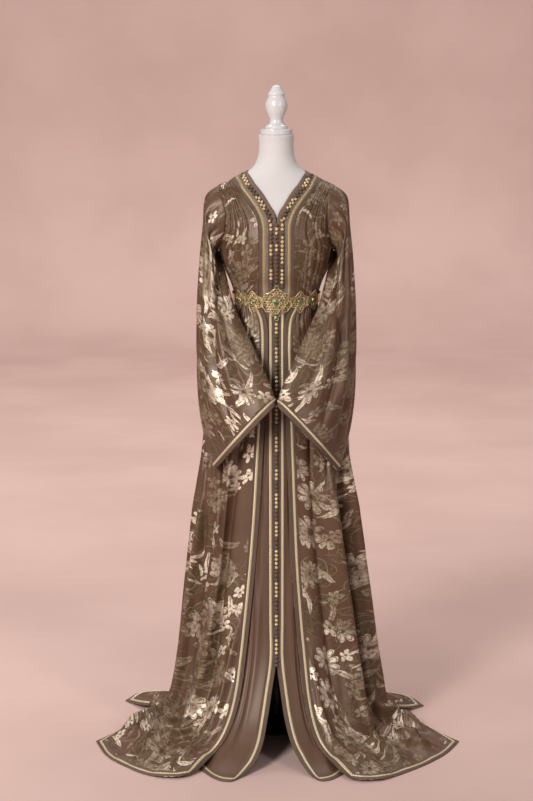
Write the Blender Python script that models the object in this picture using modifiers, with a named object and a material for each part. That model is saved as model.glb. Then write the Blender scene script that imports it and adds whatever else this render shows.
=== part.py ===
"""Moroccan kaftan on a limbless dress form: solids at real size, in metres, +Z up.

X runs to the viewer's right, +Y away from the viewer, and the origin is the centre of
the stand base's underside. Left and right are the viewer's. An angle round the body
starts at the front centre: 90 degrees is the right side, 180 the back, -90 the left.
"""
import math

import bmesh
import bpy
import numpy as np

LEFT = -1
RIGHT = 1

# Driving dimensions
WALL = 0.0016
SEAM_GAP = 0.0003
LAYER_GAP = 0.0005
TRIM_WIDTH = 0.021
TRIM_WALL = 0.0018
BAND_WALL = 0.0024
WAIST_HEIGHT = 1.165
FLOOR_LIFT = 0.0010
LAST_RING_HEIGHT = 0.035
UNDERSKIRT_INSET = 0.0050
UNDERSKIRT_TOP_INSET = 0.0026
UNDERSKIRT_TUCK = 0.028
SLIT_TOP = 0.232
CENTRE_BUTTON_TOP = 1.372
CENTRE_BUTTON_END = 1.216
SKIRT_BUTTON_TOP = 1.114

ARMHOLE_MIDDLE = 1.376
ARMHOLE_HALF_HEIGHT = 0.081
ARMHOLE_HALF_DEPTH = 0.056
ARMHOLE_STEPS = 7

BEAD_PITCH = 0.0105
BEAD_RADIUS = 0.0042
BEAD_WAIST = 0.45

BELT_OUT = 0.0050
BELT_PLATE = 0.0022
BELT_STRAP_HEIGHT = 0.024
BELT_DROOP = 0.011

POLE_RADIUS = 0.0125
BASE_RADIUS = 0.140
BASE_HEIGHT = 0.012
TORSO_BOTTOM = 0.800
NECK_TOP = 1.592
CAP_TOP = 1.6067


def table(names, rows):
    """A short table: each named column becomes an array."""
    return dict(zip(names.split(), np.array(rows, dtype=float).T))


# The inner face of the robe round the body, ring by ring
BODY = table("height left right front back", [
    (1.4985, 0.0752, 0.0752, 0.0590, 0.0610),
    (1.4880, 0.0950, 0.0950, 0.0625, 0.0650),
    (1.4770, 0.1145, 0.1145, 0.0665, 0.0690),
    (1.4670, 0.1360, 0.1360, 0.0715, 0.0735),
    (1.4570, 0.1525, 0.1525, 0.0775, 0.0785),
    (1.4400, 0.1590, 0.1590, 0.0860, 0.0860),
    (1.4100, 0.1610, 0.1610, 0.0960, 0.0930),
    (1.3600, 0.1560, 0.1560, 0.1110, 0.0960),
    (1.3000, 0.1460, 0.1460, 0.1190, 0.0950),
    (1.2500, 0.1310, 0.1310, 0.1120, 0.0890),
    (1.2050, 0.1135, 0.1135, 0.0995, 0.0825),
    (1.1650, 0.1085, 0.1085, 0.0960, 0.0800),
    (1.1200, 0.1150, 0.1150, 0.0990, 0.0845),
    (1.0600, 0.1390, 0.1390, 0.1100, 0.0990),
    (0.9800, 0.1620, 0.1620, 0.1210, 0.1130),
    (0.8800, 0.1845, 0.1835, 0.1320, 0.1260),
    (0.7600, 0.1980, 0.1950, 0.1450, 0.1350),
    (0.6200, 0.2110, 0.2000, 0.1630, 0.1430),
    (0.4800, 0.2260, 0.2130, 0.1850, 0.1520),
    (0.3500, 0.2400, 0.2290, 0.2120, 0.1620),
    (0.2500, 0.2490, 0.2420, 0.2410, 0.1700),
    (0.1700, 0.2580, 0.2570, 0.2780, 0.1785),
    (0.1100, 0.2720, 0.2710, 0.3150, 0.1865),
    (0.0650, 0.2930, 0.2890, 0.3570, 0.1950),
    (LAST_RING_HEIGHT, 0.3180, 0.3120, 0.3920, 0.2050),
])

# The front edges of the robe, as distances from the middle
ROBE_EDGE = table("height left right", [
    (1.2500, 0.0450, 0.0450), (1.2050, 0.0449, 0.0449), (1.1650, 0.0440, 0.0432),
    (1.1200, 0.0250, 0.0230), (1.0600, 0.0205, 0.0180), (0.9800, 0.0235, 0.0200),
    (0.8800, 0.0290, 0.0235), (0.7600, 0.0355, 0.0275), (0.6200, 0.0435, 0.0325),
    (0.4800, 0.0545, 0.0390), (0.3500, 0.0675, 0.0490), (0.2500, 0.0790, 0.0590),
    (0.1700, 0.0910, 0.0680), (0.1100, 0.1070, 0.0800), (0.0650, 0.1295, 0.0980),
    (LAST_RING_HEIGHT, 0.1560, 0.1230),
])

# The neck band: outer edge, and inner edge down the V and beside the front opening
NECK_BAND = table("outer_height outer_x inner_height inner_x", [
    (1.4770, 0.1145, 1.4985, 0.0752),
    (1.4730, 0.1135, 1.4938, 0.0735),
    (1.4660, 0.1075, 1.4865, 0.0675),
    (1.4500, 0.0950, 1.4700, 0.0570),
    (1.4250, 0.0770, 1.4480, 0.0385),
    (1.3920, 0.0548, 1.4200, 0.0208),
    (1.3580, 0.0458, 1.3860, 0.0024),
    (1.3180, 0.0451, 1.3250, 0.0012),
    (1.2500, 0.0450, 1.2500, 0.0012),
    (1.2050, 0.0449, 1.2050, 0.0012),
    (1.1670, 0.0424, 1.1670, 0.0012),
])

# Where the buttons run across the band, counted from its lower end up the front
BUTTON_SHARE = table("row share", [(0, 0.26), (4, 0.30), (6, 0.36)])

# The underskirt's front edges: shut to the end of the buttons, then a slit
UNDERSKIRT_EDGE = table("height left right", [
    (1.1650, 0.0003, 0.0003), (0.3500, 0.0003, 0.0003), (0.2500, 0.0003, 0.0003),
    (0.1700, 0.0125, 0.0105), (0.1100, 0.0235, 0.0215), (0.0650, 0.0345, 0.0365),
    (LAST_RING_HEIGHT, 0.0500, 0.0560),
])

# Hems on the floor, as distances from the middle, front negative
ROBE_FRONT_HEM = {
    LEFT: table("share x y", [
        (0.00, 0.188, -0.383), (0.14, 0.240, -0.430), (0.27, 0.283, -0.428), (0.44, 0.339, -0.400),
        (0.62, 0.385, -0.354), (0.82, 0.438, -0.289), (1.00, 0.479, -0.181)]),
    RIGHT: table("share x y", [
        (0.00, 0.158, -0.420), (0.14, 0.208, -0.452), (0.27, 0.258, -0.445), (0.44, 0.322, -0.398),
        (0.62, 0.384, -0.340), (0.82, 0.446, -0.262), (1.00, 0.486, -0.182)]),
}
ROBE_BACK_HEM = table("share x y", [
    (0.000, 0.417, 0.089), (0.070, 0.380, 0.125), (0.160, 0.310, 0.168), (0.300, 0.190, 0.228),
    (0.500, 0.000, 0.262),
    (0.700, -0.190, 0.236), (0.840, -0.310, 0.182), (0.930, -0.385, 0.162), (1.000, -0.426, 0.129),
])
UNDERSKIRT_HEM = {
    LEFT: table("share x y", [
        (0.00, 0.072, -0.400), (0.30, 0.104, -0.449), (0.55, 0.136, -0.446), (0.80, 0.167, -0.418),
        (1.00, 0.196, -0.372)]),
    RIGHT: table("share x y", [
        (0.00, 0.074, -0.398), (0.30, 0.102, -0.443), (0.55, 0.128, -0.444), (0.80, 0.152, -0.424),
        (1.00, 0.176, -0.388)]),
}

# Heights of the rings below the armholes
SKIRT_RINGS = [1.250, 1.205, 1.165, 1.120, 1.060, 0.980, 0.880, 0.760, 0.620, 0.480, 0.350,
               0.250, 0.170, 0.110, 0.065, LAST_RING_HEIGHT]
FLOOR_SHARES = [0.38, 0.74, 1.0]
ROBE_FRONT_COLUMNS = 13
ROBE_BACK_COLUMNS = 20
BACK_SEAM_COLUMNS = 4
BACK_NECK_DROP = 0.016
UNDERSKIRT_COLUMNS = 5

# How deep the folds stand out at each height
FOLD_DEPTH = table("height front back", [
    (1.4770, 0.0000, 0.0000), (1.4400, 0.0012, 0.0008), (1.3600, 0.0024, 0.0012),
    (1.2500, 0.0022, 0.0014), (1.1650, 0.0018, 0.0014), (1.0600, 0.0040, 0.0038),
    (0.9100, 0.0065, 0.0075), (0.6200, 0.0110, 0.0125), (0.3300, 0.0150, 0.0160),
    (0.1200, 0.0160, 0.0170), (LAST_RING_HEIGHT, 0.0120, 0.0150),
])
FRONT_FOLDS = 3.5
BACK_FOLDS = 6.0
FLOOR_RIDGE = 0.016

# Sleeve stations from the shoulder to the cuff, for the left: outer edge, inner edge,
# degrees the section's front is turned outward, how far the middle bows out from the
# body, and half the hollow's depth
SLEEVE = table("outer_x outer_y outer_z inner_x inner_y inner_z turn bow half_depth", [
    (-0.1850, 0.000, 1.4300, -0.1600, -0.010, 1.2760, 4, 0.000, 0.0520),
    (-0.1920, -0.003, 1.3600, -0.1500, -0.034, 1.2430, 9, 0.002, 0.0450),
    (-0.1965, -0.008, 1.2700, -0.1330, -0.062, 1.2000, 14, 0.006, 0.0370),
    (-0.2010, -0.015, 1.1800, -0.1080, -0.092, 1.1460, 19, 0.012, 0.0330),
    (-0.2050, -0.022, 1.0900, -0.0780, -0.124, 1.0880, 24, 0.020, 0.0310),
    (-0.2060, -0.034, 1.0000, -0.0510, -0.152, 1.0340, 29, 0.028, 0.0290),
    (-0.2030, -0.052, 0.9200, -0.0290, -0.172, 0.9880, 33, 0.032, 0.0270),
    (-0.1950, -0.074, 0.8500, -0.0120, -0.186, 0.9500, 35, 0.032, 0.0250),
    (-0.1800, -0.098, 0.7850, -0.0050, -0.194, 0.9270, 36, 0.030, 0.0230),
    (-0.1590, -0.124, 0.7300, -0.0045, -0.198, 0.9120, 36, 0.028, 0.0220),
])
RIGHT_SLEEVE_FORWARD = 0.016
SLEEVE_FOLD = 0.006

# The bust form: neck, shoulders, waist and hips
TORSO = table("height half_width front back", [
    (NECK_TOP, 0.0467, 0.0467, 0.0467), (1.5830, 0.0458, 0.0458, 0.0458),
    (1.5700, 0.0448, 0.0448, 0.0448), (1.5450, 0.0465, 0.0455, 0.0460),
    (1.5220, 0.0530, 0.0490, 0.0500), (1.5080, 0.0622, 0.0525, 0.0545),
    (1.4985, 0.0732, 0.0560, 0.0580), (1.4930, 0.0812, 0.0568, 0.0592),
    (1.4880, 0.0920, 0.0585, 0.0610), (1.4825, 0.1008, 0.0600, 0.0630),
    (1.4770, 0.1075, 0.0620, 0.0630), (1.4720, 0.1140, 0.0640, 0.0640),
    (1.4660, 0.1235, 0.0665, 0.0650), (1.4560, 0.1380, 0.0720, 0.0697),
    (1.4400, 0.1470, 0.0800, 0.0790), (1.4100, 0.1490, 0.0900, 0.0875),
    (1.3600, 0.1430, 0.1050, 0.0890), (1.3000, 0.1330, 0.1120, 0.0870),
    (1.2500, 0.1200, 0.1030, 0.0810), (1.2050, 0.1070, 0.0920, 0.0740),
    (1.1650, 0.0980, 0.0850, 0.0710), (1.1200, 0.1070, 0.0880, 0.0760),
    (1.0600, 0.1240, 0.0950, 0.0870), (0.9900, 0.1420, 0.1010, 0.0970),
    (0.9100, 0.1560, 0.1040, 0.1050), (0.8300, 0.1530, 0.1000, 0.1030),
    (TORSO_BOTTOM, 0.1450, 0.0940, 0.0970),
])
TORSO_SIDES = 24

# Turned profiles, top to bottom
FINIAL = table("radius height", [
    (0.0000, 1.7200), (0.0070, 1.7180), (0.0123, 1.7135), (0.0154, 1.7075), (0.0196, 1.7010),
    (0.0226, 1.6960), (0.0213, 1.6900), (0.0270, 1.6770), (0.0290, 1.6660), (0.0262, 1.6525),
    (0.0206, 1.6400), (0.0170, 1.6300), (0.0190, 1.6215), (0.0254, 1.6165), (0.0296, 1.6120),
    (0.0296, CAP_TOP + SEAM_GAP), (0.0000, CAP_TOP + SEAM_GAP),
])
CAP = table("radius height", [
    (0.0000, CAP_TOP), (0.0405, CAP_TOP), (0.0422, CAP_TOP - 0.0017), (0.0422, NECK_TOP + 0.0020),
    (0.0405, NECK_TOP + SEAM_GAP), (0.0000, NECK_TOP + SEAM_GAP),
])
BASE = table("radius height", [
    (0.0000, BASE_HEIGHT), (0.0200, BASE_HEIGHT), (BASE_RADIUS - 0.010, BASE_HEIGHT - 0.003),
    (BASE_RADIUS, BASE_HEIGHT - 0.007), (BASE_RADIUS, 0.0010), (BASE_RADIUS - 0.001, 0.0),
    (0.0000, 0.0),
])
TURNED_SIDES = 18
BASE_SIDES = 24

# Belt plates from the middle outward: half length, half height
CENTRE_PLATE = (0.0365, 0.0370)
SIDE_PLATES = [(0.0225, 0.0275), (0.0220, 0.0235)]
HINGE_RADIUS = 0.0016
PLATE_LOBES = 8
PLATE_SIDES = 16
PLATE_LOBE = 0.07
BOSS_HEIGHT = 0.0030
# Stones on the centre plate and its rim: above the belt's middle, half width, half height
CENTRE_STONES = {
    "belt_stone_centre": (0.0, 0.0065, 0.0085),
    "belt_stone_top": (0.0415, 0.0038, 0.0042),
    "belt_stone_bottom": (-0.0420, 0.0038, 0.0048),
}
SIDE_STONE = (0.0032, 0.0036)
STONE_DEPTH = 0.0030

# Colours: red, green, blue, roughness, metallic
FINISHES = {
    "patterned satin": (0.235, 0.150, 0.100, 0.42, 0.0),
    "plain satin": (0.290, 0.185, 0.140, 0.38, 0.0),
    "braid": (0.110, 0.070, 0.045, 0.60, 0.0),
    "gilt": (0.720, 0.520, 0.210, 0.30, 1.0),
    "green stone": (0.010, 0.130, 0.060, 0.10, 0.0),
    "white cloth": (0.800, 0.790, 0.770, 0.75, 0.0),
    "white gloss": (0.850, 0.850, 0.850, 0.20, 0.0),
    "painted steel": (0.040, 0.038, 0.036, 0.40, 0.2),
}


def smooth(columns, name, at, along="height"):
    """A table's column between its rows, on a curve that never overshoots them."""
    order = np.argsort(columns[along])
    known = columns[along][order]
    value = columns[name][order]
    step = np.diff(known)
    slope = np.diff(value) / step
    product = slope[:-1] * slope[1:]
    total = np.where(product > 0, slope[:-1] + slope[1:], 1.0)
    tangent = np.concatenate([slope[:1], np.where(product > 0, 2 * product / total, 0.0), slope[-1:]])
    at = np.clip(np.asarray(at, dtype=float), known[0], known[-1])
    row = np.clip(np.searchsorted(known, at, side="right") - 1, 0, len(step) - 1)
    part = (at - known[row]) / step[row]
    rest = 1 - part
    return (value[row] * rest * rest * (1 + 2 * part) + value[row + 1] * part * part * (3 - 2 * part)
            + step[row] * part * rest * (tangent[row] * rest - tangent[row + 1] * part))


def body_point(angle, height, out=0.0):
    """Points round the body at the given angles and heights, moved out level by out."""
    angle, height, out = np.broadcast_arrays(np.asarray(angle, float), np.asarray(height, float),
                                             np.asarray(out, float))
    sine, cosine = np.sin(angle), np.cos(angle)
    wide = np.where(sine < 0, smooth(BODY, "left", height), smooth(BODY, "right", height))
    deep = np.where(cosine > 0, smooth(BODY, "front", height), smooth(BODY, "back", height))
    outward = np.stack([sine / wide, -cosine / deep], axis=-1)
    outward /= np.linalg.norm(outward, axis=-1, keepdims=True)
    return np.stack([wide * sine + out * outward[..., 0],
                     -deep * cosine + out * outward[..., 1], height], axis=-1)


def edge_angle(side, across, height):
    """The angle of a point of the front that lies this far from the middle."""
    wide = smooth(BODY, "left" if side == LEFT else "right", height)
    return side * np.arcsin(np.clip(across / wide, 0.0, 1.0))


def armhole_heights():
    """Heights down the armhole, from its top to its bottom."""
    steps = np.arange(ARMHOLE_STEPS + 1) * math.pi / ARMHOLE_STEPS
    return ARMHOLE_MIDDLE + ARMHOLE_HALF_HEIGHT * np.cos(steps)


def armhole_half_depth(height):
    """Half the armhole's depth at a height, or 0 above and below it."""
    rise = (np.asarray(height) - ARMHOLE_MIDDLE) / ARMHOLE_HALF_HEIGHT
    return ARMHOLE_HALF_DEPTH * np.sqrt(np.clip(1 - rise * rise, 0.0, 1.0))


def side_angle(height, depth_name):
    """How far round the body a panel reaches, counted from its own middle."""
    deep = smooth(BODY, depth_name, height)
    seam = SEAM_GAP / 2 / deep
    return np.arccos(np.clip(armhole_half_depth(height) / deep + seam, 0.0, 1.0))


def column_shares(length, count, edge, far_edge):
    """Shares across a row, with a trim's width kept at the edges that carry one."""
    first = TRIM_WIDTH / length if edge else 0.0
    last = 1 - TRIM_WIDTH / length if far_edge else 1.0
    inner = np.linspace(first, last, count + 1 - int(edge) - int(far_edge))
    return np.concatenate([[0.0] if edge else [], inner, [1.0] if far_edge else []])


def row_length(start_angle, end_angle, start_height, end_height):
    """Length of the arc from one end of a row to the other."""
    part = np.linspace(0, 1, 33)
    points = body_point(start_angle + (end_angle - start_angle) * part,
                        start_height + (end_height - start_height) * part)
    return float(np.linalg.norm(np.diff(points, axis=0), axis=1).sum())


def fold_wave(share, folds, height, lean):
    """Rounded folds, 0 in the valleys and 1 on the ridges, leaning a little with height."""
    phase = 2 * math.pi * (folds * share + lean * np.sin(2.3 * np.asarray(height) + 5 * share))
    return 0.5 - 0.5 * np.cos(phase)


def floor_rows(last_row, hem, shares, raised, ridge_height=FLOOR_RIDGE):
    """Rows that run out over the floor from the last ring to the hem."""
    reach = np.linalg.norm(hem[:, :2] - last_row[:, :2], axis=1)
    before_trim = 1 - TRIM_WIDTH / reach
    rows = []
    for stage in FLOOR_SHARES + [None]:
        part = np.ones_like(reach) if stage is None else before_trim * stage
        row = last_row + (hem - last_row) * part[:, None]
        ridge = ridge_height * fold_wave(shares, 5.0, 0.0, 0.12) * (4 * part * (1 - part)) ** 1.5
        row[:, 2] = hem[:, 2] + (last_row[:, 2] - hem[:, 2]) * (1 - part) ** 2 + ridge + raised
        rows.append(row)
    return rows


def robe_front_grid(side):
    """A robe front from the shoulder seam to the hem: rows run from its edge to the side."""
    rows = []
    side_name = "left" if side == LEFT else "right"
    seam_heights = np.concatenate([armhole_heights(), SKIRT_RINGS])
    edge_heights = np.concatenate([NECK_BAND["outer_height"][:ARMHOLE_STEPS + 1], SKIRT_RINGS])
    for row, (edge_height, seam_height) in enumerate(zip(edge_heights, seam_heights)):
        if row <= ARMHOLE_STEPS:
            across = NECK_BAND["outer_x"][row]
        else:
            across = smooth(ROBE_EDGE, side_name, edge_height)
        start = abs(edge_angle(side, across + SEAM_GAP, edge_height))
        end = side_angle(seam_height, "front")
        start = min(start, end)
        length = row_length(start, end, edge_height, seam_height)
        has_trim = edge_height <= WAIST_HEIGHT
        if has_trim:
            shares = column_shares(length, ROBE_FRONT_COLUMNS, True, True)
        else:
            shares = np.linspace(0, 1, ROBE_FRONT_COLUMNS + 1)
        height = edge_height + (seam_height - edge_height) * shares
        window = np.clip((shares - 0.12) / 0.22, 0, 1) * np.clip((0.91 - shares) / 0.14, 0, 1)
        depth = smooth(FOLD_DEPTH, "front", height) * window
        out = depth * fold_wave(shares, FRONT_FOLDS, height, 0.10 * side)
        rows.append(body_point(side * (start + (end - start) * shares), height, out))
    hem_table = ROBE_FRONT_HEM[side]
    hem = np.stack([side * smooth(hem_table, "x", shares, "share"),
                    smooth(hem_table, "y", shares, "share"),
                    np.full_like(shares, FLOOR_LIFT)], axis=1)
    raised = 0.0062 * np.clip((0.42 - shares) / 0.25, 0, 1) ** 0.7
    return np.array(rows + floor_rows(rows[-1], hem, shares, raised))


def robe_back_top(share):
    """How far round the back its top edge lies, and how high: seam, band, other seam."""
    seam_share = BACK_SEAM_COLUMNS / ROBE_BACK_COLUMNS
    on_seam = np.clip(np.minimum(share, 1 - share) / seam_share, 0, 1)
    on_neck = np.clip((share - seam_share) / (1 - 2 * seam_share), 0, 1)
    band_edge = NECK_BAND["outer_height"][0]
    seam_top = ARMHOLE_MIDDLE + ARMHOLE_HALF_HEIGHT
    height = seam_top + (band_edge - seam_top) * on_seam - BACK_NECK_DROP * np.sin(math.pi * on_neck)
    return on_neck, height


def robe_back_grid():
    """The back in one piece, rows from the right side round to the left."""
    rows = []
    even = np.linspace(0, 1, ROBE_BACK_COLUMNS + 1)
    top_share, top_height = robe_back_top(even)
    inward = np.clip(np.minimum(even, 1 - even) * ROBE_BACK_COLUMNS / BACK_SEAM_COLUMNS, 0, 1)
    arm = armhole_heights()
    for row, height in enumerate(np.concatenate([arm, SKIRT_RINGS])):
        reach = side_angle(height, "back")
        if height <= WAIST_HEIGHT:
            length = row_length(math.pi - reach, math.pi + reach, height, height)
            shares = column_shares(length, ROBE_BACK_COLUMNS, True, True)
        else:
            shares = even
        drop = min(1.0, row / ARMHOLE_STEPS)
        spread = top_share + (shares - top_share) * drop ** 0.6
        angle = math.pi - reach + 2 * reach * spread
        if row <= ARMHOLE_STEPS:
            side_fall = arm[0] - height
            middle_fall = (top_height - arm[-1]) * drop
            row_height = top_height - side_fall - (middle_fall - side_fall) * inward
        else:
            row_height = np.full_like(shares, height)
        window = np.clip((np.minimum(shares, 1 - shares) - 0.05) / 0.08, 0, 1)
        depth = smooth(FOLD_DEPTH, "back", row_height) * window
        out = depth * fold_wave(shares, BACK_FOLDS, row_height, 0.14)
        rows.append(body_point(angle, row_height, out))
    hem = np.stack([smooth(ROBE_BACK_HEM, "x", shares, "share"),
                    smooth(ROBE_BACK_HEM, "y", shares, "share"),
                    np.full_like(shares, FLOOR_LIFT)], axis=1)
    return np.array(rows + floor_rows(rows[-1], hem, shares, 0.0 * shares))


def underskirt_grid(side):
    """An underskirt front, set in behind the robe: rows from the middle to under the robe."""
    rows = []
    side_name = "left" if side == LEFT else "right"
    rings = [height for height in SKIRT_RINGS if height <= WAIST_HEIGHT]
    for height in rings:
        tuck = UNDERSKIRT_TUCK if height > LAST_RING_HEIGHT else 0.012
        start = abs(edge_angle(side, smooth(UNDERSKIRT_EDGE, side_name, height), height))
        end = abs(edge_angle(side, smooth(ROBE_EDGE, side_name, height) + tuck, height))
        length = row_length(start, end, height, height)
        shares = column_shares(length, UNDERSKIRT_COLUMNS, True, False)
        inset = UNDERSKIRT_TOP_INSET if height == WAIST_HEIGHT else UNDERSKIRT_INSET
        rows.append(body_point(side * (start + (end - start) * shares), height, -inset))
    hem_table = UNDERSKIRT_HEM[side]
    hem = np.stack([side * smooth(hem_table, "x", shares, "share"),
                    smooth(hem_table, "y", shares, "share"),
                    np.full_like(shares, FLOOR_LIFT)], axis=1)
    return np.array(rows + floor_rows(rows[-1], hem, shares, 0.0 * shares, 0.0))


def neck_band_grid():
    """The band from the left front up the V, round the back neck and down the right."""
    across = np.linspace(0, 1, 4)
    rows = []

    def front_row(side, row):
        inner = edge_angle(side, NECK_BAND["inner_x"][row], NECK_BAND["inner_height"][row])
        outer = edge_angle(side, NECK_BAND["outer_x"][row], NECK_BAND["outer_height"][row])
        height = (NECK_BAND["inner_height"][row] * (1 - across)
                  + NECK_BAND["outer_height"][row] * across)
        return body_point(inner + (outer - inner) * across, height)

    count = len(NECK_BAND["outer_x"])
    for row in range(count - 1, 0, -1):
        rows.append(front_row(RIGHT, row))
    even = np.linspace(0, 1, ROBE_BACK_COLUMNS + 1)
    share, height = robe_back_top(even)
    angle = math.pi / 2 + math.pi * share
    on_neck = slice(BACK_SEAM_COLUMNS, ROBE_BACK_COLUMNS + 1 - BACK_SEAM_COLUMNS)
    for neck_angle, outer_height in zip(angle[on_neck], height[on_neck]):
        inner_height = NECK_BAND["inner_height"][0]
        rise = inner_height + (outer_height + SEAM_GAP - inner_height) * across
        rows.append(body_point(neck_angle, rise))
    for row in range(1, count):
        rows.append(front_row(LEFT, row))
    return np.array(rows)


def sleeve_grid(side):
    """A bell sleeve: rings from the armhole to the cuff, each starting at its outer edge."""
    turn = np.arange(2 * ARMHOLE_STEPS) * math.pi / ARMHOLE_STEPS
    share = (1 - np.cos(turn)) / 2
    height = ARMHOLE_MIDDLE + ARMHOLE_HALF_HEIGHT * np.cos(turn)
    half = armhole_half_depth(height)
    front = np.sin(turn) >= 0
    deep = np.where(front, smooth(BODY, "front", height), smooth(BODY, "back", height))
    reach = np.arccos(np.clip(half / deep, 0, 1))
    first = body_point(np.where(front, reach, math.pi - reach), height, 2 * WALL + SEAM_GAP)
    first[:, 0] *= LEFT
    rings = [first]
    count = len(SLEEVE["bow"])
    outer = np.stack([SLEEVE["outer_x"], SLEEVE["outer_y"], SLEEVE["outer_z"]], axis=1)
    inner = np.stack([SLEEVE["inner_x"], SLEEVE["inner_y"], SLEEVE["inner_z"]], axis=1)
    if side == RIGHT:
        forward = RIGHT_SLEEVE_FORWARD * np.linspace(0, 1, count) ** 2
        outer[:, 1] -= forward
        inner[:, 1] -= forward
    turned_out = np.radians(SLEEVE["turn"])
    facing = np.stack([-np.sin(turned_out), -np.cos(turned_out), 0 * turned_out], axis=1)
    for station in range(count):
        wave = np.sin(2 * math.pi * (2.2 * share + 0.25 * station / count))
        crease = SLEEVE_FOLD * wave * 4 * share * (1 - share) * min(1.0, station / 3)
        off = SLEEVE["bow"][station] * 4 * share * (1 - share) + crease
        off = off + SLEEVE["half_depth"][station] * np.sin(turn)
        middle = outer[station] + (inner[station] - outer[station]) * share[:, None]
        rings.append(middle + facing[station] * off[:, None])
    gap = rings[-2] - rings[-1]
    before_trim = rings[-1] + gap * (TRIM_WIDTH / np.linalg.norm(gap, axis=1, keepdims=True))
    rings.insert(-1, before_trim)
    grid = np.array(rings)
    if side == RIGHT:
        grid[:, :, 0] *= -1
    return grid


def grid_faces(shape, sign, cells, wrap):
    """The corner numbers of a grid's chosen cells, facing outward."""
    row_count, column_count = shape
    faces = []
    for row in range(row_count - 1):
        for column in range(column_count if wrap else column_count - 1):
            if cells is not None and not cells[row, column]:
                continue
            after = (column + 1) % column_count
            loop = [row * column_count + column, row * column_count + after,
                    (row + 1) * column_count + after, (row + 1) * column_count + column]
            faces.append(loop if sign > 0 else loop[::-1])
    return faces


def grid_mesh(name, grid, sign, cells=None, wrap=False):
    """A mesh of a grid's chosen cells, without the points that no cell uses."""
    faces = grid_faces(grid.shape[:2], sign, cells, wrap)
    used = sorted({corner for face in faces for corner in face})
    number = {corner: index for index, corner in enumerate(used)}
    points = grid.reshape(-1, 3)[used]
    mesh = bpy.data.meshes.new(name)
    mesh.from_pydata(points.tolist(), [], [[number[corner] for corner in face] for face in faces])
    mesh.shade_smooth()
    return mesh


def moved_out(grid, distance, sign, wrap=False):
    """A grid's own points, moved off its outer side along its mesh's normals."""
    mesh = grid_mesh("normals", grid, sign, wrap=wrap)
    normals = np.zeros(len(mesh.vertices) * 3)
    mesh.vertex_normals.foreach_get("vector", normals)
    bpy.data.meshes.remove(mesh)
    return grid + distance * normals.reshape(grid.shape)


def material(finish):
    """The Principled material of a finish, made once."""
    found = bpy.data.materials.get(finish)
    if found:
        return found
    red, green, blue, roughness, metallic = FINISHES[finish]
    made = bpy.data.materials.new(finish)
    made.use_nodes = True
    shader = made.node_tree.nodes["Principled BSDF"]
    shader.inputs["Base Color"].default_value = (red, green, blue, 1.0)
    shader.inputs["Roughness"].default_value = roughness
    shader.inputs["Metallic"].default_value = metallic
    return made


def place(name, data, finish, collection):
    """A named object in the kaftan's collection, with its own copy of a finish."""
    part = bpy.data.objects.new(name, data)
    own = material(finish).copy()
    own.name = name + " " + finish
    data.materials.append(own)
    collection.objects.link(part)
    return part


def cloth(name, grid, sign, wall, finish, collection, cells=None, wrap=False):
    """A cloth wall: an open surface that Solidify thickens outward."""
    part = place(name, grid_mesh(name, grid, sign, cells, wrap), finish, collection)
    thicken = part.modifiers.new("Wall", "SOLIDIFY")
    thicken.thickness = wall
    thicken.offset = 1.0
    return part


def turned(name, profile, sides, finish, collection):
    """A turned piece: a profile spun by a Screw modifier."""
    mesh = bpy.data.meshes.new(name)
    points = [(radius, 0.0, height) for radius, height in zip(profile["radius"], profile["height"])]
    edges = [(index, index + 1) for index in range(len(points) - 1)]
    mesh.from_pydata(points, edges, [])
    part = place(name, mesh, finish, collection)
    spin = part.modifiers.new("Turn", "SCREW")
    spin.steps = sides
    spin.render_steps = sides
    spin.use_merge_vertices = True
    spin.merge_threshold = 0.00005
    return part


def torso(collection):
    """The bust: level rings joined from the neck's top to the hips, closed at both ends."""
    angle = np.arange(TORSO_SIDES) * 2 * math.pi / TORSO_SIDES
    sine, cosine = np.sin(angle), np.cos(angle)
    mesh_builder = bmesh.new()
    rings = []
    for height, wide, front, back in zip(*(TORSO[key] for key in ("height", "half_width", "front", "back"))):
        deep = np.where(cosine > 0, front, back)
        rings.append([mesh_builder.verts.new((x, y, height)) for x, y in zip(wide * sine, -deep * cosine)])
    for upper, lower in zip(rings, rings[1:]):
        for index in range(TORSO_SIDES):
            after = (index + 1) % TORSO_SIDES
            mesh_builder.faces.new([upper[index], lower[index], lower[after], upper[after]])
    mesh_builder.faces.new(rings[0])
    mesh_builder.faces.new(rings[-1][::-1])
    bmesh.ops.recalc_face_normals(mesh_builder, faces=mesh_builder.faces)
    mesh = bpy.data.meshes.new("form_torso")
    mesh_builder.to_mesh(mesh)
    mesh_builder.free()
    mesh.shade_smooth()
    return place("form_torso", mesh, "white cloth", collection)


def pole(collection):
    """The post from the base up to the bust's underside."""
    bottom = BASE_HEIGHT + SEAM_GAP
    top = TORSO_BOTTOM - SEAM_GAP
    mesh_builder = bmesh.new()
    bmesh.ops.create_cone(mesh_builder, cap_ends=True, segments=16, radius1=POLE_RADIUS,
                          radius2=POLE_RADIUS, depth=top - bottom)
    mesh = bpy.data.meshes.new("stand_pole")
    mesh_builder.to_mesh(mesh)
    mesh_builder.free()
    part = place("stand_pole", mesh, "painted steel", collection)
    part.location = (0.0, 0.0, (top + bottom) / 2)
    return part


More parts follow.
